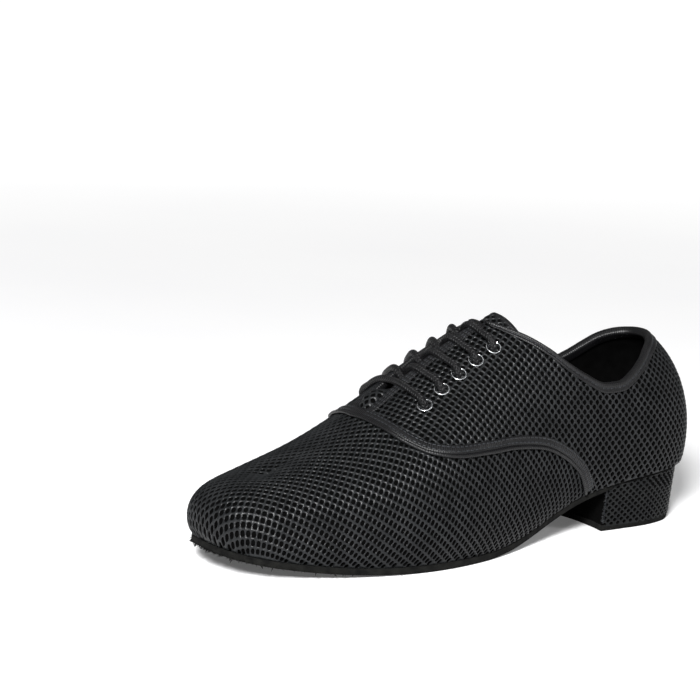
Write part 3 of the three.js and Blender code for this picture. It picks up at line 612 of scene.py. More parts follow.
# %% Flat pattern of a panel
def flat_pattern(name, columns, rows, place, merge=0, drawn_by=None):
    """Lays a panel and flattens it. Gives its points, normals, flat map in millimetres and faces.

    drawn_by gives the flat place of each column and row for a panel that is not unwrapped.
    """
    panel = lay_sheet(name, columns, rows, place, merge)
    face_outwards(panel)
    select_only(panel)
    bpy.ops.object.mode_set(mode="EDIT")
    bpy.ops.mesh.select_all(action="SELECT")
    bpy.ops.mesh.quads_convert_to_tris()
    if drawn_by is None:
        bpy.ops.uv.unwrap(method="MINIMUM_STRETCH", iterations=40, margin=0.0)
    bpy.ops.object.mode_set(mode="OBJECT")
    mesh = panel.data
    points = np.array([v.co for v in mesh.vertices])
    normals = np.array([v.normal for v in mesh.vertices])
    faces = np.array([p.vertices for p in mesh.polygons])
    flat = np.zeros((len(points), 2))
    for loop, uv in zip(mesh.loops, mesh.uv_layers.active.data):
        flat[loop.vertex_index] = uv.uv
    a, b, c = (points[faces[:, k]] for k in range(3))
    real = np.linalg.norm(np.cross(b - a, c - a), axis=1).sum() / 2
    a, b, c = (flat[faces[:, k]] for k in range(3))
    drawn = (b[:, 0] - a[:, 0]) * (c[:, 1] - a[:, 1]) - (b[:, 1] - a[:, 1]) * (c[:, 0] - a[:, 0])
    if drawn.sum() < 0:
        flat[:, 0] *= -1
    flat *= math.sqrt(real / (np.abs(drawn).sum() / 2)) / MM
    if drawn_by is not None:
        u, v = np.asarray(columns, float)[:, None], np.asarray(rows, float)[None, :]
        laid = to_metres(place(u, v)).reshape(-1, 3)
        spots = drawn_by(u, v).reshape(-1, 2)
        flat = np.array([spots[np.argmin(((laid - p) ** 2).sum(1))] for p in points])
    bpy.data.objects.remove(panel)
    return points, normals, flat, faces


def flat_spot(pattern, point):
    """The place on the flat pattern of a point on the last."""
    points, _, flat, faces = pattern
    tree = BVHTree.FromPolygons([Vector(p) for p in points], faces.tolist())
    where, _, index, _ = tree.find_nearest(Vector(point))
    a, b, c = (points[k] for k in faces[index])
    shares = np.linalg.lstsq(np.column_stack([b - a, c - a]), np.array(where) - a, rcond=None)[0]
    corners = flat[faces[index]]
    return corners[0] + (corners[1:] - corners[0]).T @ shares


# %% Setting out the holes
hole_sides = 12
# Heights over the cloth in millimetres: the knot, the strand that runs over the other and the one
# that runs under it, the strand's inner side and the hole's rim.
knot_height, over_height, under_height, shoulder_height, rim_height = 0.45, 0.36, -0.16, -0.14, -0.45
shoulder_share = 0.8  # how far the strand's inner side lies from the cell's border to the hole
hole_taper = 0.86
off_panel = 0.02  # a spot this far off the flat pattern is outside the panel


def cell_loops(along, across, hole):
    """Loops of one mesh cell on the flat, from its border in to the bottom of its hole."""
    corners = np.array([[along / 2, 0], [0, across / 2], [-along / 2, 0], [0, -across / 2]])
    border, heights = [], []
    per_side = hole_sides // 4
    for k in range(4):
        for step in range(per_side):
            share = step / per_side
            border.append(corners[k] * (1 - share) + corners[(k + 1) % 4] * share)
            strand = under_height if k % 2 else over_height
            heights.append(knot_height if step == 0 else strand)
    border = np.array(border)
    angle = 2 * math.pi * np.arange(hole_sides) / hole_sides
    ring = np.column_stack([np.cos(angle) * along, np.sin(angle) * across]) / (along + across) * 2
    shoulder = border * (1 - shoulder_share) + ring * hole * shoulder_share
    one = np.ones(hole_sides)
    return [
        (border, np.array(heights)),
        (shoulder, one * shoulder_height),
        (ring * hole, one * rim_height),
        (ring * hole * hole_taper, one * -mesh_depth),
    ]


def mesh_cloth(name, pattern, anchor, towards, along, across, hole, lift):
    """Mesh cloth on a panel. anchor and towards are points on the last that line up its holes.

    along and across are the holes' pitch, hole is their radius and lift is the cloth's height over
    the panel, all in millimetres. A cell has a hole where its middle lies on the panel.
    """
    points, normals, flat, faces = pattern
    drawn = np.column_stack([flat, np.zeros(len(flat))])
    tree = BVHTree.FromPolygons([Vector(p) for p in drawn], faces.tolist())
    start = flat_spot(pattern, anchor)
    way = unit(flat_spot(pattern, towards) - start)
    turn = np.column_stack([way, [-way[1], way[0]]])
    turned = (flat - start) @ turn
    low, high = turned.min(0), turned.max(0)
    loops = cell_loops(along, across, hole)
    vertices, heights, polygons, finish, known = [], [], [], [], {}

    def vertex(spot, height):
        key = (round(spot[0] * 200), round(spot[1] * 200), round(height * 100))
        if key not in known:
            known[key] = len(vertices)
            vertices.append(spot)
            heights.append(height)
        return known[key]

    rows = range(int(low[1] / across * 2) - 2, int(high[1] / across * 2) + 3)
    cells = [(i * along + (j % 2) * along / 2, j * across / 2)
             for j in rows for i in range(int(low[0] / along) - 2, int(high[0] / along) + 3)]
    for centre in cells:
        spots = (loops[0][0] + centre) @ turn.T + start
        outside = [tree.find_nearest(Vector((x, y, 0)))[3] for x, y in spots]
        if min(outside) > off_panel:
            continue
        middle = turn @ np.array(centre) + start
        holed = tree.find_nearest(Vector((*middle, 0)))[3] < off_panel
        rings = [[vertex(tuple(spot), height) for spot, height in
                  zip((loop + centre) @ turn.T + start, level)]
                 for loop, level in loops[:None if holed else 1]]
        if not holed:
            polygons.append(rings[0])
            finish.append(0)
        for depth, (outer, inner) in enumerate(zip(rings, rings[1:])):
            for k in range(hole_sides):
                n = (k + 1) % hole_sides
                polygons.append([outer[k], outer[n], inner[n], inner[k]])
                # The strand's inner side and the hole's wall take the second material, the near-black
                # lining, as painted shade.
                finish.append(0 if depth == 0 else 1)
    placed = np.empty((len(vertices), 3))
    for k, (spot, height) in enumerate(zip(vertices, heights)):
        where, _, index, gap = tree.find_nearest(Vector((spot[0], spot[1], 0)))
        a, b, c = faces[index]
        pa, pb, pc = flat[a], flat[b], flat[c]
        area = (pb[0] - pa[0]) * (pc[1] - pa[1]) - (pb[1] - pa[1]) * (pc[0] - pa[0])
        u = ((where.x - pa[0]) * (pc[1] - pa[1]) - (where.y - pa[1]) * (pc[0] - pa[0])) / area
        v = ((pb[0] - pa[0]) * (where.y - pa[1]) - (pb[1] - pa[1]) * (where.x - pa[0])) / area
        normal = unit(normals[a] * (1 - u - v) + normals[b] * u + normals[c] * v)
        rise = (height if gap < off_panel else 0.0) + lift
        placed[k] = points[a] * (1 - u - v) + points[b] * u + points[c] * v + normal * rise * MM
    mesh = bpy.data.meshes.new(name)
    mesh.from_pydata(placed.tolist(), [], polygons)
    mesh.polygons.foreach_set("material_index", finish)
    piece = bpy.data.objects.new(name, mesh)
    bpy.context.scene.collection.objects.link(piece)
    select_only(piece)
    bpy.ops.object.mode_set(mode="EDIT")
    bpy.ops.mesh.select_all(action="SELECT")
    bpy.ops.mesh.remove_doubles(threshold=1e-5)
    bpy.ops.mesh.dissolve_degenerate(threshold=1e-5)
    bpy.ops.object.mode_set(mode="OBJECT")
    mesh.shade_smooth()
    print(name, len(cells), "cells tried,", len(placed), "corners")
    return piece


# %% Vamp
# The vamp is one piece from the feather line over the toes. Its columns run from the outer waist
# round the toe to the inner waist.
def vamp_level(r, v):
    """The place up the skin of a share of the vamp's height."""
    twin = np.abs(r)
    return v * np.where(twin > seam_front, seam_t(twin), 1.0)


def vamp_place(r, v):
    r, v = np.broadcast_arrays(r, v)
    return skin(r, vamp_level(r, v))


beside_seam = np.linspace(0, 1, 40) ** 1.6 * (seam_back - seam_front - 0.02)
vamp_half = np.concatenate([np.linspace(0, seam_front, 30)[:-1], seam_front + beside_seam])
vamp_columns = np.concatenate([-vamp_half[:0:-1], vamp_half])


def vamp_flat(r, v):
    """The cloth's grain runs along the shoe and the cloth drops from the crest down both sides."""
    r, v = np.broadcast_arrays(r, v)
    t = vamp_level(r, v)
    levels = np.linspace(1, 0, 81)
    fans = skin_point(r[:, :1], levels)
    down = np.cumsum(np.linalg.norm(np.diff(fans, axis=1), axis=-1), axis=1)
    down = np.concatenate([np.zeros((len(r), 1)), down], axis=1)
    fall = np.array([np.interp(-row, -levels, line) for row, line in zip(t, down)])
    foot, crest = section(r)[:2]
    way = unit((foot - crest)[..., :2])
    reach = np.linalg.norm((skin_point(r, t) - crest)[..., :2], axis=-1)
    fall = fall + (reach - fall) * 0.5 * way[..., :1].squeeze(-1) ** 2
    along_crest = np.linspace(0.2, 0.9, 400) * sole_length
    ridge = sole_top(along_crest) + instep_rise * from_table(crest_rows, 1, along_crest / sole_length)
    grain = np.concatenate([[0], np.cumsum(np.hypot(np.diff(along_crest), np.diff(ridge)))])
    middle = (np.interp(crest[..., 0], along_crest, grain) + crest[..., 0]) / 2
    return np.stack([middle, np.zeros_like(middle)], -1) + way * fall[..., None]


vamp_pattern = flat_pattern("vamp_pattern", vamp_columns, np.linspace(0, 1, 25), vamp_place,
                            2e-5, vamp_flat)
vamp_anchor = to_metres(skin_point(5.12, 0.62))
vamp_towards = vamp_anchor + np.array([-4.25, -0.09, 1.23]) * 2 * MM
vamp = mesh_cloth("vamp_mesh", vamp_pattern, vamp_anchor, vamp_towards, 4.3, 4.45, 1.08, 0.0)
finish_piece(vamp, mesh_yarn, "mesh_cloth")


# %% Quarters
# Two quarters meet in a closed seam at the back of the heel. Each lies over the vamp.
def quarter_place(r, v):
    r, v = np.broadcast_arrays(r, v)
    seam = seam_t(outer_twin(r))
    return skin(r, seam + v * (edge_t(r) - seam), quarter_step)


quarter_run = np.concatenate([
    np.linspace(seam_front + 0.04, throat_section, 4)[:-1],
    quarter_columns(12, 16, 30),
])
quarter_anchor_section, quarter_grain = 12.64, np.array([8.0, 0.0, 0.5])
for side, columns, anchor_section in (
    ("outer", quarter_run, quarter_anchor_section),
    ("inner", RING - quarter_run[::-1], RING - quarter_anchor_section),
):
    pattern = flat_pattern(f"quarter_pattern_{side}", columns, np.linspace(0, 1, 25), quarter_place)
    anchor = to_metres(skin_point(anchor_section, 0.25))
    towards = anchor + quarter_grain * MM
    quarter = mesh_cloth(f"quarter_mesh_{side}", pattern, anchor, towards, 4.1, 4.6, 1.08, 0.0)
    finish_piece(quarter, mesh_yarn, "mesh_cloth")

# %% [markdown]
# ## Tapes
# A tape is a band that follows a line on the last. Its cross-section is drawn once, as a closed loop,
# and carried along the line at even steps.

# %% Helper for a band
def even_run(start, end, level, pitch):
    """Sections at even steps of real length along a line on the last."""
    dense = np.linspace(start, end, 1600)
    path = skin_point(dense, level(dense))
    length = lengths_along(path)
    return np.interp(np.linspace(0, length[-1], int(length[-1] / pitch) + 1), length, dense)


def line_step(columns, level):
    """The step along a line on the last at each of its columns."""
    ahead, behind = columns + probe, columns - probe
    return skin_point(ahead, level(ahead)) - skin_point(behind, level(behind))


def band(name, columns, profile):
    """A closed band. profile gives a point for every column and every corner of the cross-section."""
    points = profile(columns)
    points = np.concatenate([points, points[:, :1]], axis=1)
    rows = np.arange(points.shape[1])
    return close_ends(lay_sheet(name, np.arange(len(columns)), rows, lambda i, j: points))


def across_seam(r, t, along, distance):
    """The place that lies so many millimetres across a line on the last, at right angles to it."""
    round_step = (skin_point(r + probe, t) - skin_point(r - probe, t)) / (2 * probe)
    low, high = np.maximum(0, t - probe), np.minimum(1 - 1e-6, t + probe)
    up_step = (skin_point(r, high) - skin_point(r, low)) / (high - low)[..., None]
    across = unit(np.cross(skin_normal(r, t), along))
    a, b, c = ((m * n).sum(-1) for m, n in
               ((round_step, round_step), (round_step, up_step), (up_step, up_step)))
    p, q = ((m * across).sum(-1) * distance for m in (round_step, up_step))
    det = a * c - b * b
    return r + (p * c - q * b) / det, np.clip(t + (q * a - p * b) / det, 0, 1)


# %% Seam tape
# A smooth tape covers the quarters' raw front edge. Its front is rolled round a cord, which stands up
# as a bright piping, and two rows of stitches hold it down.
seam_end = seam_back - 0.1
seam_outer = even_run(seam_end, seam_front + 0.01, seam_t, 1.5)
seam_run = np.concatenate([seam_outer, [seam_front], RING - seam_outer[::-1]])
# Each corner of the cross-section: behind the seam, height over the last.
piping_ahead, piping_height, piping_radius = -1.05, 1.2, 0.95
piping = [[piping_ahead + piping_radius * math.cos(a), piping_height + piping_radius * math.sin(a)]
          for a in np.linspace(math.radians(-5), math.radians(235), 12)]
seam_profile = np.array([
    [4.6, 0.7], [4.65, 1.1], [4.3, 1.3], [3.0, 1.35], [1.5, 1.35], [0.6, 1.3], [0.1, 0.95],
    [-0.1, 0.75], *piping, [-1.3, 0.25], [-0.3, 0.3], [-0.2, 0.68],
])


def seam_line(columns):
    along = unit(line_step(columns, seam_t))
    along[np.abs(columns - seam_front) < 1e-9] = (0, 1, 0)
    return seam_t(columns), along


def on_seam(columns, behind, over):
    level, along = seam_line(columns)
    r, t = across_seam(columns, level, along, behind)
    return skin(r, t, over)


def seam_shape(columns):
    return np.stack([on_seam(columns, behind, over) for behind, over in seam_profile], axis=1)


seam_tape = band("seam_tape_cloth", seam_run, seam_shape)
finish_piece(seam_tape, binding_tape, "binding_tape", "seam_tape")


# %% Collar and facing bindings
# Tape folded over the edge. Along the collar it is rolled full and stitched in a groove below the
# roll. Along the facings it lies flat under three rows of stitches.
def on_edge(columns, down, offset, lift):
    edge = edge_t(columns)
    level = along_skin(columns, edge, -down)
    out = unit(np.cross(skin_normal(columns, edge), line_step(columns, edge_t)))
    return skin(columns, level, offset) + out * lift


def edge_shape(profile):
    return lambda columns: np.stack([on_edge(columns, *row) for row in profile], axis=1)


# Each corner of a cross-section: down from the edge, height over the last, lift past the edge.
collar_profile = np.array([
    [4.5, 0.7, 0], [4.55, 1.2, 0], [4.2, 1.45, 0], [3.2, 1.45, 0], [2.5, 1.3, 0], [2.15, 1.1, 0],
    [1.8, 1.3, 0], [1.2, 1.65, 0], [0.5, 1.75, 0], [0, 1.4, 0.45], [0, 0.7, 0.85], [0, -0.3, 1.0],
    [0, -1.4, 0.9], [0, -2.2, 0.6], [0, -2.7, 0.1], [0.8, -2.85, 0], [1.7, -2.65, 0],
    [2.2, -2.55, 0], [4.2, -2.75, 0], [4.5, -2.5, 0], [4.4, -2.2, 0], [0.5, -2.1, 0], [0.5, 0.6, 0],
])
facing_profile = np.array([
    [4.7, 0.65, 0], [4.75, 0.95, 0], [4.45, 1.2, 0], [4.1, 1.15, 0], [3.8, 0.85, 0], [3.5, 1.15, 0],
    [3.0, 1.25, 0], [2.6, 1.15, 0], [2.3, 0.85, 0], [2.0, 1.15, 0], [1.5, 1.25, 0], [1.1, 1.15, 0],
    [0.8, 0.85, 0], [0.5, 1.15, 0], [0, 1.0, 0.3], [0, 0.2, 0.5], [0, -1.3, 0.5], [0, -2.0, 0.3],
    [0.5, -2.35, 0], [4.4, -2.35, 0], [4.5, -2.2, 0], [0.4, -2.1, 0], [0.4, 0.6, 0],
])
collar_start = section_at(collar_rows[-1, 0] - 0.004)
collar_run = even_run(collar_start, RING - collar_start, edge_t, 1.5)
collar_binding = band("collar_binding_cloth", collar_run, edge_shape(collar_profile))
finish_piece(collar_binding, binding_tape, "binding_tape", "collar_binding")
facing_run = even_run(throat_section + 0.03, corner_section - 0.02, edge_t, 1.2)
for side, columns in (("outer", facing_run), ("inner", RING - facing_run[::-1])):
    facing = band(f"facing_binding_{side}", columns, edge_shape(facing_profile))
    finish_piece(facing, binding_tape, "binding_tape")

# %% Stitches
# One stitch is a small flattened bead of thread. It is modelled once and copied along every row.
bpy.ops.object.select_all(action="DESELECT")
bpy.ops.mesh.primitive_uv_sphere_add(segments=8, ring_count=5, radius=1)
stitch = bpy.context.object
stitch_corners = np.array([v.co for v in stitch.data.vertices]) * [1.0, 0.33, 0.3]
stitch_faces = [list(p.vertices) for p in stitch.data.polygons]
bpy.data.objects.remove(stitch)
stitch_pitch = 2.5
seam_tape_top = 1.38


def joined(name, corners, faces):
    """One mesh from many copies of a small shape."""
    count = len(corners)
    size = corners.shape[1]
    mesh = bpy.data.meshes.new(name)
    mesh.from_pydata(to_metres(corners.reshape(-1, 3)).tolist(), [],
                     [[k * size + v for v in face] for k in range(count) for face in faces])
    piece = bpy.data.objects.new(name, mesh)
    bpy.context.scene.collection.objects.link(piece)
    mesh.shade_smooth()
    return piece


def stitch_row(columns, point_at):
    """Stitches along a row. point_at gives a point at a section and a height over the cloth."""
    middle = (columns[1:] + columns[:-1]) / 2
    step = (columns[1:] - columns[:-1]) * 0.3
    here = point_at(middle, 0.0)
    along = unit(point_at(middle + step, 0.0) - point_at(middle - step, 0.0))
    up = unit(point_at(middle, 0.5) - here)
    side = np.cross(up, along)
    frames = np.stack([along, side, up], axis=1)
    return here[:, None, :] + stitch_corners @ frames


def edge_row(columns, down, height):
    return stitch_row(columns, lambda r, up: on_edge(r, down, height + up, 0.0))


def seam_row(columns, behind):
    return stitch_row(columns, lambda r, up: on_seam(r, behind, seam_tape_top + up))


seam_steps = even_run(seam_end + 0.02, seam_front + 0.03, seam_t, stitch_pitch)
facing_steps = even_run(throat_section + 0.25, corner_section - 0.15, edge_t, stitch_pitch)
collar_steps = even_run(collar_start + 0.05, RING - collar_start - 0.05, edge_t, stitch_pitch)
rows = [edge_row(collar_steps, 2.15, 1.2)]
for columns in (seam_steps, RING - seam_steps[::-1]):
    rows += [seam_row(columns, behind) for behind in (1.4, 3.6)]
for columns in (facing_steps, RING - facing_steps[::-1]):
    rows += [edge_row(columns, down, 0.95) for down in (0.8, 2.3, 3.8)]
stitches = joined("stitch_rows", np.concatenate(rows), stitch_faces)
finish_piece(stitches, sewing_thread, "binding_tape")

# %% [markdown]
# ## Tongue
# A padded tab of thin foam, faced with the same mesh and bound with tape. It starts under the vamp
# and stands up past the facings, and the lace has room between it and them.

# %% Tongue
tongue_front, tongue_back, tongue_half = section_at(0.715), section_at(0.405), 25.0
tongue_low, tongue_high = section_at(0.65), section_at(0.614)
tongue_thickness, lace_thickness = 2.4, 3.6
throat_opens, throat_open = section_at(0.7), section_at(0.665)
pillow_half, pillow_rise, pillow_pressed = 6.3, 6.4, 3.3  # the ridge that shows in the lacing's gap
top_droop = 5.0  # the free top leans back over the foot
tongue_along = np.linspace(tongue_front, tongue_back, 40)
tongue_across = np.sin(np.linspace(-1, 1, 33) * math.pi / 2)


def tongue_point(r, w, sink):
    """r is a section of the outer side, w runs from -1 on the inner edge to 1 on the outer one.

    The tongue lies under the facings, swells into the gap between them and is pressed down there by
    the lace. Past the facings it is free.
    """
    r, w = np.broadcast_arrays(np.asarray(r, float), np.asarray(w, float))
    share = (r - tongue_front) / (tongue_back - tongue_front)
    corner = np.clip((share - 0.8) / 0.2, 0, None)
    half = tongue_half * (1 - 0.2 * corner**2)
    there = np.where(w >= 0, r, RING - r)
    t = 1 - np.abs(w) * (1 - down_from_crest(there, half))
    under_lace = smooth_step(r, tongue_low, tongue_high)
    free = smooth_step(r, tongue_back - 1, tongue_back)
    open_throat = smooth_step(r, throat_opens, throat_open)
    across = np.clip(1 - (w * tongue_half / pillow_half) ** 4, 0, 1)
    pillow = across * (pillow_rise - pillow_pressed * under_lace) * open_throat
    lean = free * (top_droop + 2.0 * w**2 - 1.6 * w)
    drop = wall + 4 * clearance + under_lace * lace_thickness - lean
    return skin(there, t, -drop + pillow * (1 - free) - sink)


tongue_grid = tongue_point(tongue_along[:, None], tongue_across[None, :], 0.0)
tongue_under = tongue_point(tongue_along[:, None], tongue_across[None, :], tongue_thickness)


def tongue_body_place(i, j):
    """Round the tongue's section: over the top from the inner edge to the outer, back below."""
    i, j = np.broadcast_arrays(i.astype(int), j.astype(int))
    top = tongue_grid + (tongue_under - tongue_grid) * (mesh_depth / tongue_thickness)
    loop = np.concatenate([top, tongue_under[:, ::-1], top[:, :1]], axis=1)
    return loop[i, j]


tongue_body_rows = np.arange(2 * len(tongue_across) + 1)
tongue_foam = lay_sheet("tongue_foam", np.arange(len(tongue_along)), tongue_body_rows, tongue_body_place)
close_ends(tongue_foam)
finish_piece(tongue_foam, lining_and_hole_shade, "tongue_cloth", "tongue")

tongue_pattern = flat_pattern("tongue_pattern", np.arange(len(tongue_along)),
                              np.arange(len(tongue_across)), lambda i, j: tongue_grid)
tongue_anchor = to_metres(tongue_grid[20, 16])
tongue_mesh = mesh_cloth("tongue_mesh", tongue_pattern, tongue_anchor, to_metres(tongue_grid[26, 16]),
                         4.2, 4.4, 1.0, 0.0)
finish_piece(tongue_mesh, mesh_yarn, "tongue_cloth")

# The bound edge: a flattened tube of tape round the tongue's free outline.
tongue_middle = tongue_grid * 0.5 + tongue_under * 0.5
outline = np.concatenate([
    tongue_middle[14:, 0], tongue_middle[-1, 1:-1], tongue_middle[:13:-1, -1]])


def smooth_path(points, step):
    """A smooth line through points, cut at even steps."""
    steps = np.linalg.norm(np.diff(points, axis=0), axis=1)
    chord = np.concatenate([[0], np.cumsum(np.sqrt(steps))])
    fine = []
    ends = np.concatenate([[2 * points[0] - points[1]], points, [2 * points[-1] - points[-2]]])
    knots = np.concatenate([[-(chord[1] - chord[0])], chord, [2 * chord[-1] - chord[-2]]])
    for k in range(len(points) - 1):
        p0, p1, p2, p3 = ends[k:k + 4]
        t0, t1, t2, t3 = knots[k:k + 4]
        m1 = (p2 - p1) / (t2 - t1) - (p2 - p0) / (t2 - t0) + (p1 - p0) / (t1 - t0)
        m2 = (p2 - p1) / (t2 - t1) - (p3 - p1) / (t3 - t1) + (p3 - p2) / (t3 - t2)
        u = np.linspace(0, 1, 25)[:-1, None]
        span = t2 - t1
        fine.append((2 * u**3 - 3 * u**2 + 1) * p1 + (u**3 - 2 * u**2 + u) * span * m1
                    + (3 * u**2 - 2 * u**3) * p2 + (u**3 - u**2) * span * m2)
    fine = np.concatenate(fine + [points[-1:]])
    length = lengths_along(fine)
    even = np.linspace(0, length[-1], int(length[-1] / step) + 1)
    return np.column_stack([np.interp(even, length, fine[:, k]) for k in range(3)]), length[-1]


def cord(name, path, radius, sides):
    """A closed round cord along a path."""
    ahead = unit(np.gradient(path, axis=0))
    side = np.empty_like(path)
    side[0] = unit(np.cross(ahead[0], [0.3, 0.2, 1.0]))
    for k in range(1, len(path)):
        side[k] = unit(side[k - 1] - ahead[k] * (side[k - 1] @ ahead[k]))
    other = np.cross(ahead, side)
    angle = np.linspace(0, 2 * math.pi, sides + 1)
    size = np.ones(len(path)) * radius
    size[[0, -1]] *= 0.6
    ring = (side[:, None] * np.cos(angle)[:, None] + other[:, None] * np.sin(angle)[:, None])
    grid = path[:, None] + ring * size[:, None, None]
    return close_ends(lay_sheet(name, np.arange(len(path)), np.arange(sides + 1), lambda i, j: grid))


tongue_edge, _ = smooth_path(outline[::2], 1.2)
tongue_binding = cord("tongue_binding", tongue_edge, 1.7, 12)
finish_piece(tongue_binding, binding_tape, "tongue_cloth")

# %% [markdown]
# ## Sole
# The sole is one thin piece of suede with a cut edge. It draws in at the waist and stays flat on the
# floor under the ball of the foot.

# %% Slabs over the sole's outline
ring_run = np.linspace(0, RING, 145)
sole_margin, heel_seat_inset = 1.2, 2.4


def slab_place(edge, levels):
    """Rings from the middle of the top, over the edge and back to the middle below."""
    rings = [(v, edge[0][0], edge[0][1]) for v in levels[::-1][:-1]]
    rings += [(0.0, reach, high) for reach, high in edge]
    rings += [(v, edge[-1][0], edge[-1][1]) for v in levels[1:]]

    def place(r, k):
        r, k = np.broadcast_arrays(r, k.astype(int))
        foot, crest = section(r)[:2]
        out = round_and_out(r)[1]
        v, reach, high = (np.array(column, dtype=object)[k] for column in zip(*rings))
        reach = np.vectorize(lambda f, a: f(a), otypes=[float])(reach, r)
        flat = foot + out * reach[..., None]
        flat = flat + (crest - flat) * v.astype(float)[..., None]
        flat[..., 2] = np.vectorize(lambda f, x: float(f(x)), otypes=[float])(high, flat[..., 0])
        return flat

    return place, np.arange(len(rings))


def margin_at(r):
    """The sole's edge shows round the forepart, draws in at the waist and hides under the heel seat."""
    share = section(r)[0][..., 0] / sole_length
    shows = sole_margin * (0.1 + 0.9 * smooth_step(share, 0.36, 0.58))
    return shows - heel_seat_inset * (1 - smooth_step(share, 0.2, 0.25))


def shifted(function, by):
    return lambda at: function(at) + by


def slab(name, edge):
    place, rows = slab_place(edge, np.array([0, 0.15, 0.4, 0.7, 1.0]))
    return lay_sheet(name, ring_run, rows, place)


# An edge runs from the top to the underside. Each row is a reach past the feather line and a height.
sole_edge = [
    (shifted(margin_at, -0.45), shifted(sole_top, -0.3)),
    (shifted(margin_at, -0.1), shifted(sole_top, -0.42)),
    (margin_at, shifted(sole_top, -0.75)),
    (shifted(margin_at, 0.05), shifted(sole_under, 1.6)),
    (shifted(margin_at, -0.1), shifted(sole_under, 0.7)),
    (shifted(margin_at, -0.4), shifted(sole_under, 0.2)),
    (shifted(margin_at, -0.8), sole_under),
]
finish_piece(slab("outsole_suede", sole_edge), sole_suede, "sole_suede", "outsole")

sock_edge = [(shifted(np.zeros_like, reach), shifted(sole_top, high))
             for reach, high in ((-2.9, 3.0), (-2.55, 2.7), (-2.5, 0.3), (-2.7, 0.0))]
finish_piece(slab("insole_sock", sock_edge), lining_and_hole_shade, "sock_lining", "insole")

# %% [markdown]
# ## Heel
# A light moulded block, covered with the same mesh pulled tight, so its holes are smaller. Its front,
# the breast, is smooth and hollow. The mesh ends at the breast's corners in a frayed lip.

# %% Heel outline
breast_share, breast_hollow = 0.228, 2.5
breast_low, breast_high = 0.0, float(HEEL)
for _ in range(40):
    middle = (breast_low + breast_high) / 2
    if section(middle)[0][0] > breast_share * sole_length:
        breast_low = middle
    else:
        breast_high = middle
breast = (breast_low + breast_high) / 2


def heel_side(r, inset):
    """A place on the heel's outline, drawn in from the feather line."""
    return section(r)[0] - round_and_out(r)[1] * np.asarray(inset)[..., None]


def heel_wall(name, inset, levels):
    """The heel's wall between levels. Each level is an inset and a height or a function of x."""
    side = np.linspace(breast, RING - breast, 97)
    across = np.linspace(0, 1, 17)[1:-1]
    rings = []
    for extra, high in levels:
        run = heel_side(side, np.full(len(side), inset + extra))
        first, last = run[-1], run[0]
        front = first + (last - first) * across[:, None]
        front[:, 0] -= breast_hollow * (1 - (2 * across - 1) ** 2)
        ring = np.concatenate([run, front, run[:1]])
        ring[:, 2] = high(ring[:, 0]) if callable(high) else high
        rings.append(ring)
    grid = np.stack(rings, axis=1)
    columns, rows = np.arange(grid.shape[0]), np.arange(grid.shape[1])
    piece = close_ends(lay_sheet(name, columns, rows, lambda i, j: grid))
    piece.data.shade_smooth()
    bpy.ops.object.shade_smooth_by_angle(angle=math.radians(40))
    return piece


heel_inset, heel_depth = 1.6, 0.7  # of the heel inside the feather line, of its core under the cloth
heel_core = heel_wall("heel_core", heel_inset + heel_depth, [
    (3.0, 3.3), (2.0, 10.0), (1.0, 17.0), (0.4, 21.0), (0.0, shifted(sole_under, -0.3))])
finish_piece(heel_core, lining_and_hole_shade, "heel_cloth", "heel_block")
heel_pad = heel_wall("heel_pad_suede", 4.6, [
    (0.7, 0.0), (0.4, 0.25), (0.25, 0.9), (0.1, 2.2), (0.15, 2.8), (0.4, 3.0)])
finish_piece(heel_pad, sole_suede, "sole_suede", "heel_pad")


# %% Heel cloth
# The cloth starts above the pad, leans out as it goes up and ends under the sole's upper face.
cloth_foot, cloth_under_top, cloth_inset, cloth_lean = 2.3, 2.2, 1.9, 2.6


def heel_cloth_place(r, v):
    r, v = np.broadcast_arrays(r, v)
    top = sole_top(heel_side(r, np.full(r.shape, heel_inset))[..., 0]) - cloth_under_top
    point = heel_side(r, cloth_inset + cloth_lean * (1 - v))
    point[..., 2] = cloth_foot + v * (top - cloth_foot)
    return point


heel_run = np.linspace(breast + 0.02, RING - breast - 0.02, 90)
heel_pattern = flat_pattern("heel_pattern", heel_run, np.linspace(0, 1, 14), heel_cloth_place)
heel_anchor = to_metres(heel_cloth_place(np.array(16.0), np.array(0.5)))
heel_towards = to_metres(heel_cloth_place(np.array(16.4), np.array(0.5)))
heel_cloth = mesh_cloth("heel_mesh", heel_pattern, heel_anchor, heel_towards, 4.2, 3.5, 0.84, -0.1)
# The heel's mesh takes the darker, less shiny copy of the yarn, as painted shade.
finish_piece(heel_cloth, shaded_heel_yarn, "heel_cloth")

# %% [markdown]
# ## Eyelets
# Five nickel eyelets on each side: a thin rolled flange over a barrel. One is turned on its axis and
# copied to its ten places.

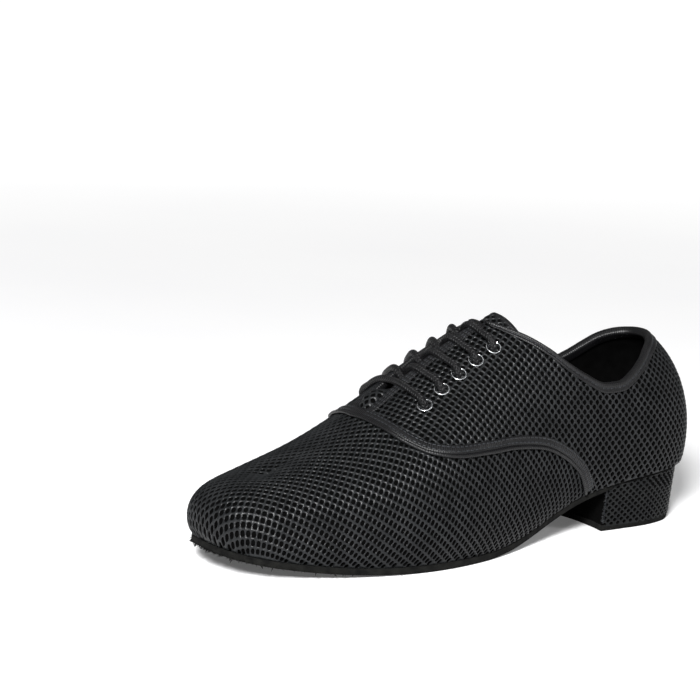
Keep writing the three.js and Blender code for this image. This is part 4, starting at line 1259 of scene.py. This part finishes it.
# %% Eyelets
eyelet_spines = np.linspace(0.617, 0.461, 5)
eyelet_downs = np.linspace(28, 23, 5)
eyelet_profile = np.array([
    [2.45, -2.9], [2.5, -1.2], [2.75, 0.0], [3.1, 0.6], [3.3, 0.9], [3.5, 1.0], [3.7, 0.92],
    [3.8, 0.65], [3.75, 0.4], [3.4, 0.3], [3.0, 0.2], [2.75, -0.8], [2.65, -2.9], [2.45, -2.9]])
eyelet_turn = np.linspace(0, 2 * math.pi, 33)[:, None]
eyelet_grid = np.stack([
    np.cos(eyelet_turn) * eyelet_profile[:, 0],
    np.sin(eyelet_turn) * eyelet_profile[:, 0],
    np.ones_like(eyelet_turn) * eyelet_profile[:, 1]], axis=-1)
model_eyelet = lay_sheet("model_eyelet", np.arange(33), np.arange(len(eyelet_profile)),
                         lambda i, j: eyelet_grid - origin)
for side in ("outer", "inner"):
    for k in range(5):
        outer = section_at(eyelet_spines[k])
        r = np.array(outer if side == "outer" else RING - outer)
        t = down_from_crest(r, eyelet_downs[k])
        upright = Vector(skin_normal(r, t)).to_track_quat("Z", "Y").to_matrix().to_4x4()
        mesh = model_eyelet.data.copy()
        mesh.transform(Matrix.Translation(to_metres(skin(r, t, quarter_step))) @ upright)
        eyelet = bpy.data.objects.new(f"eyelet_ring_{side}_{k + 1}", mesh)
        bpy.context.scene.collection.objects.link(eyelet)
        finish_piece(eyelet, nickel, "eyelet_metal", f"eyelet_{side}_{k + 1}")
bpy.data.objects.remove(model_eyelet)


# %% [markdown]
# ## Lace
# One round braided cord. It starts under a top eyelet and comes down through the rows, crosses as a
# straight bar at the lowest pair and goes back up to the other top eyelet. From the bar up, it runs
# under one facing, comes out of the gap, lies on the other facing and drops into the next eyelet.

# %% Lace
def lace_point(row, down, height):
    """row may lie between two rows of eyelets, down is positive on the outer side."""
    spine = np.interp(row, np.arange(5), eyelet_spines)
    outer = section_at(spine)
    r = np.array(outer if down >= 0 else RING - outer)
    return skin(r, down_from_crest(r, abs(down)), height)


def leg(row, side):
    """From under the eyelet one row lower on the other side, up into this row's eyelet."""
    far_down, near_down = eyelet_downs[row - 1], eyelet_downs[row]
    leaves, arrives = (0.88, 0.94) if side > 0 else (0.27, 0.65)
    low = row - 1
    return [
        lace_point(low, -side * (far_down + 0.3), -2.4),
        lace_point(low + 0.1 * leaves, -side * (far_down - 2.5), -4.7),
        lace_point(low + 0.5 * leaves, -side * (far_down + 5) * 0.5, -4.8),
        lace_point(low + leaves, -side * 5.5, -4.1),
        lace_point(low + (leaves + arrives) / 2, side * 0.01, -0.9),
        lace_point(low + arrives, side * 5.5, 2.1),
        lace_point(low + 0.5 * (arrives + 1), side * (near_down + 6) * 0.5, 2.5),
        lace_point(row, side * (near_down - 4.4), 3.4),
        lace_point(row, side * (near_down - 1.6), 2.8),
        lace_point(row, side * (near_down + 0.3), 0.2),
    ]


# The bar from the outer eyelet to the middle: way down from the crest, height over the last.
bar_rows = [(28.3, 0.2), (26.4, 2.8), (23.8, 3.4), (19, 2.6), (14, 2.4), (7, 2.2), (0, 1.8)]
bar = [lace_point(0, down, height) for down, height in bar_rows]
bar += [lace_point(0, -down, height) for down, height in bar_rows[-2::-1]]
half_one = [point for row, side in ((1, -1), (2, 1), (3, -1), (4, 1)) for point in leg(row, side)]
half_two = [point for row, side in ((1, 1), (2, -1), (3, 1), (4, -1)) for point in leg(row, side)]
end_one, end_two = ([lace_point(4, down, -2.4)] for down in (23.3, -23.3))
lace_points = np.array(end_one + half_one[::-1] + bar + half_two + end_two)
lace_path, lace_length = smooth_path(lace_points, 0.7)
lace = cord("lace_braid", lace_path, lace_thickness / 2, 16)
finish_piece(lace, lace_cord, "lace_cord", "lace_bar_1", "lace_cross_2", "lace_cross_3",
             "lace_cross_4", "lace_cross_5")
print("lace length", round(lace_length, 1), "mm")

# %% [markdown]
# ## Back seam and loose fibres
# The two quarters are sewn together at the back of the heel, which leaves a low ridge. The cut edge
# of the suede is fuzzy, most of all at the toe, and the heel's cloth frays at the breast's corners.

# %% Back seam
back_levels = np.linspace(0.02, float(edge_t(float(HEEL))) - 0.04, 40)
back_line = skin(np.full(40, float(HEEL)), back_levels, 0.75)
back_path, _ = smooth_path(back_line, 1.0)
back_seam = cord("back_seam_ridge", back_path, 0.8, 10)
finish_piece(back_seam, binding_tape, "mesh_cloth")

# %% Fibres
# One fibre is a thin three-sided spike, a millimetre long. It is modelled once and copied along the
# edges. The fibres of the suede are the thinnest, the ends of thread and yarn are thicker.
edge_fibre_count, thread_end_count, lip_fibre_count = 420, 30, 260
thread_width, yarn_width = 3.0, 2.0
bpy.ops.object.select_all(action="DESELECT")
bpy.ops.mesh.primitive_cone_add(
    vertices=3, radius1=0.13, radius2=0.03, depth=1, location=(0, 0, 0.5))
fibre = bpy.context.object
bpy.ops.object.transform_apply(location=True)
fibre_corners = np.array([v.co for v in fibre.data.vertices])
fibre_faces = [list(p.vertices) for p in fibre.data.polygons]
bpy.data.objects.remove(fibre)
rng = np.random.default_rng(7)


def fibres(roots, ways, lengths, width=1.0):
    """Copies of the fibre that stand at their roots and point along their ways."""
    ways = unit(ways)
    side = unit(np.cross(ways, [0.31, 0.17, 0.94]))
    frames = np.stack([side, np.cross(ways, side), ways], axis=1)
    sizes = np.column_stack([np.full((len(roots), 2), width), lengths])
    shapes = fibre_corners[None] * sizes[:, None]
    return roots[:, None, :] + np.einsum("nij,njk->nik", shapes, frames)


def edge_fibres(count):
    """Roots along the sole's lower edge, thick at the toe and thin towards the waist."""
    r = rng.normal(0, 2.6, count) % RING
    foot = section(r)[0]
    around, out = round_and_out(r)
    root = foot + out * (margin_at(r) - 0.35)[:, None]
    root[:, 2] = sole_under(foot[:, 0]) + rng.uniform(0.1, 1.2, count)
    way = out + around * rng.normal(0, 0.7, count)[:, None]
    way[:, 2] += rng.uniform(-0.5, 0.3, count)
    return root, way, 0.6 + 2.2 * rng.random(count) ** 3


def thread_ends(count):
    """A few longer threads that hang from the toe's lower edge."""
    root, way, length = edge_fibres(count)
    root[:, 2] -= 0.3
    way[:, 2] -= 0.7
    return root, way, 0.8 + 0.5 * length


def lip_fibres(count):
    """Roots up both breast corners of the heel."""
    share = rng.uniform(0.1, 0.95, count)
    r = np.where(rng.random(count) < 0.5, breast + 0.03, RING - breast - 0.03)
    root = heel_cloth_place(r, share)
    way = np.column_stack([np.ones(count), rng.normal(0, 0.5, count), rng.normal(0, 0.6, count)])
    return root, way, rng.uniform(0.6, 1.8, count)


fringe_shapes = [fibres(*edge_fibres(edge_fibre_count)),
                 fibres(*thread_ends(thread_end_count), thread_width)]
fringe = joined("loose_fibres", np.concatenate(fringe_shapes), fibre_faces)
finish_piece(fringe, sole_suede, "sole_suede")
lip_shapes = fibres(*lip_fibres(lip_fibre_count), yarn_width)
frayed_lips = joined("frayed_lips", lip_shapes, fibre_faces)
finish_piece(frayed_lips, sewing_thread, "heel_cloth")

# %% [markdown]
# ## The studio
# A pale floor runs far past the picture's edges. The main light stands beside the camera and two weak
# ones lift the top and the heel, while the sky fills the shadows. The floor glows more the further
# it lies from the shoe, so that it meets a white background without an edge.

# %% Floor, lights and sky
bpy.ops.object.select_all(action="DESELECT")
bpy.ops.mesh.primitive_plane_add(size=80, location=(0, 0, -0.0002))
floor = bpy.context.object
floor.name = "studio_floor"
floor_paint, tree, shader = grained("pale_floor", "#e6e6e7", "#eaeaea", 400.0, Roughness=0.6)
place = add_node(tree, "ShaderNodeTexCoord").outputs["Object"]
shader.inputs["Emission Color"].default_value = colour("#ffffff")
from_shoe = add_node(tree, "ShaderNodeVectorMath", {"operation": "LENGTH"}, links={0: place})
glow = add_node(tree, "ShaderNodeMapRange", links={"Value": from_shoe.outputs["Value"]}, inputs={
    "From Min": 0.3, "From Max": 2.5, "To Min": 0.1, "To Max": 0.95})
tree.links.new(glow.outputs["Result"], shader.inputs["Emission Strength"])
floor.data.materials.append(floor_paint)

for name, at, size, power in (
    ("main_light", (1.1, 1.12, 0.95), 0.4, 98.0),
    ("top_light", (0.1, 0.1, 1.4), 0.5, 2.0),
    ("side_light", (-0.9, 1.1, 0.8), 0.35, 6.0),
):
    lamp = bpy.data.lights.new(name, "AREA")
    lamp.size = size
    lamp.energy = power
    light = bpy.data.objects.new(name, lamp)
    light.location = at
    light.rotation_euler = (Vector((0, 0, 0.05)) - Vector(at)).to_track_quat("-Z", "Y").to_euler()
    bpy.context.scene.collection.objects.link(light)

sky = bpy.data.worlds.new("studio_sky")
bpy.context.scene.world = sky
sky.use_nodes = True
background = sky.node_tree.nodes["Background"]
background.inputs["Color"].default_value = (1, 1, 1, 1)
background.inputs["Strength"].default_value = 0.2
bpy.context.scene.view_settings.view_transform = "Standard"
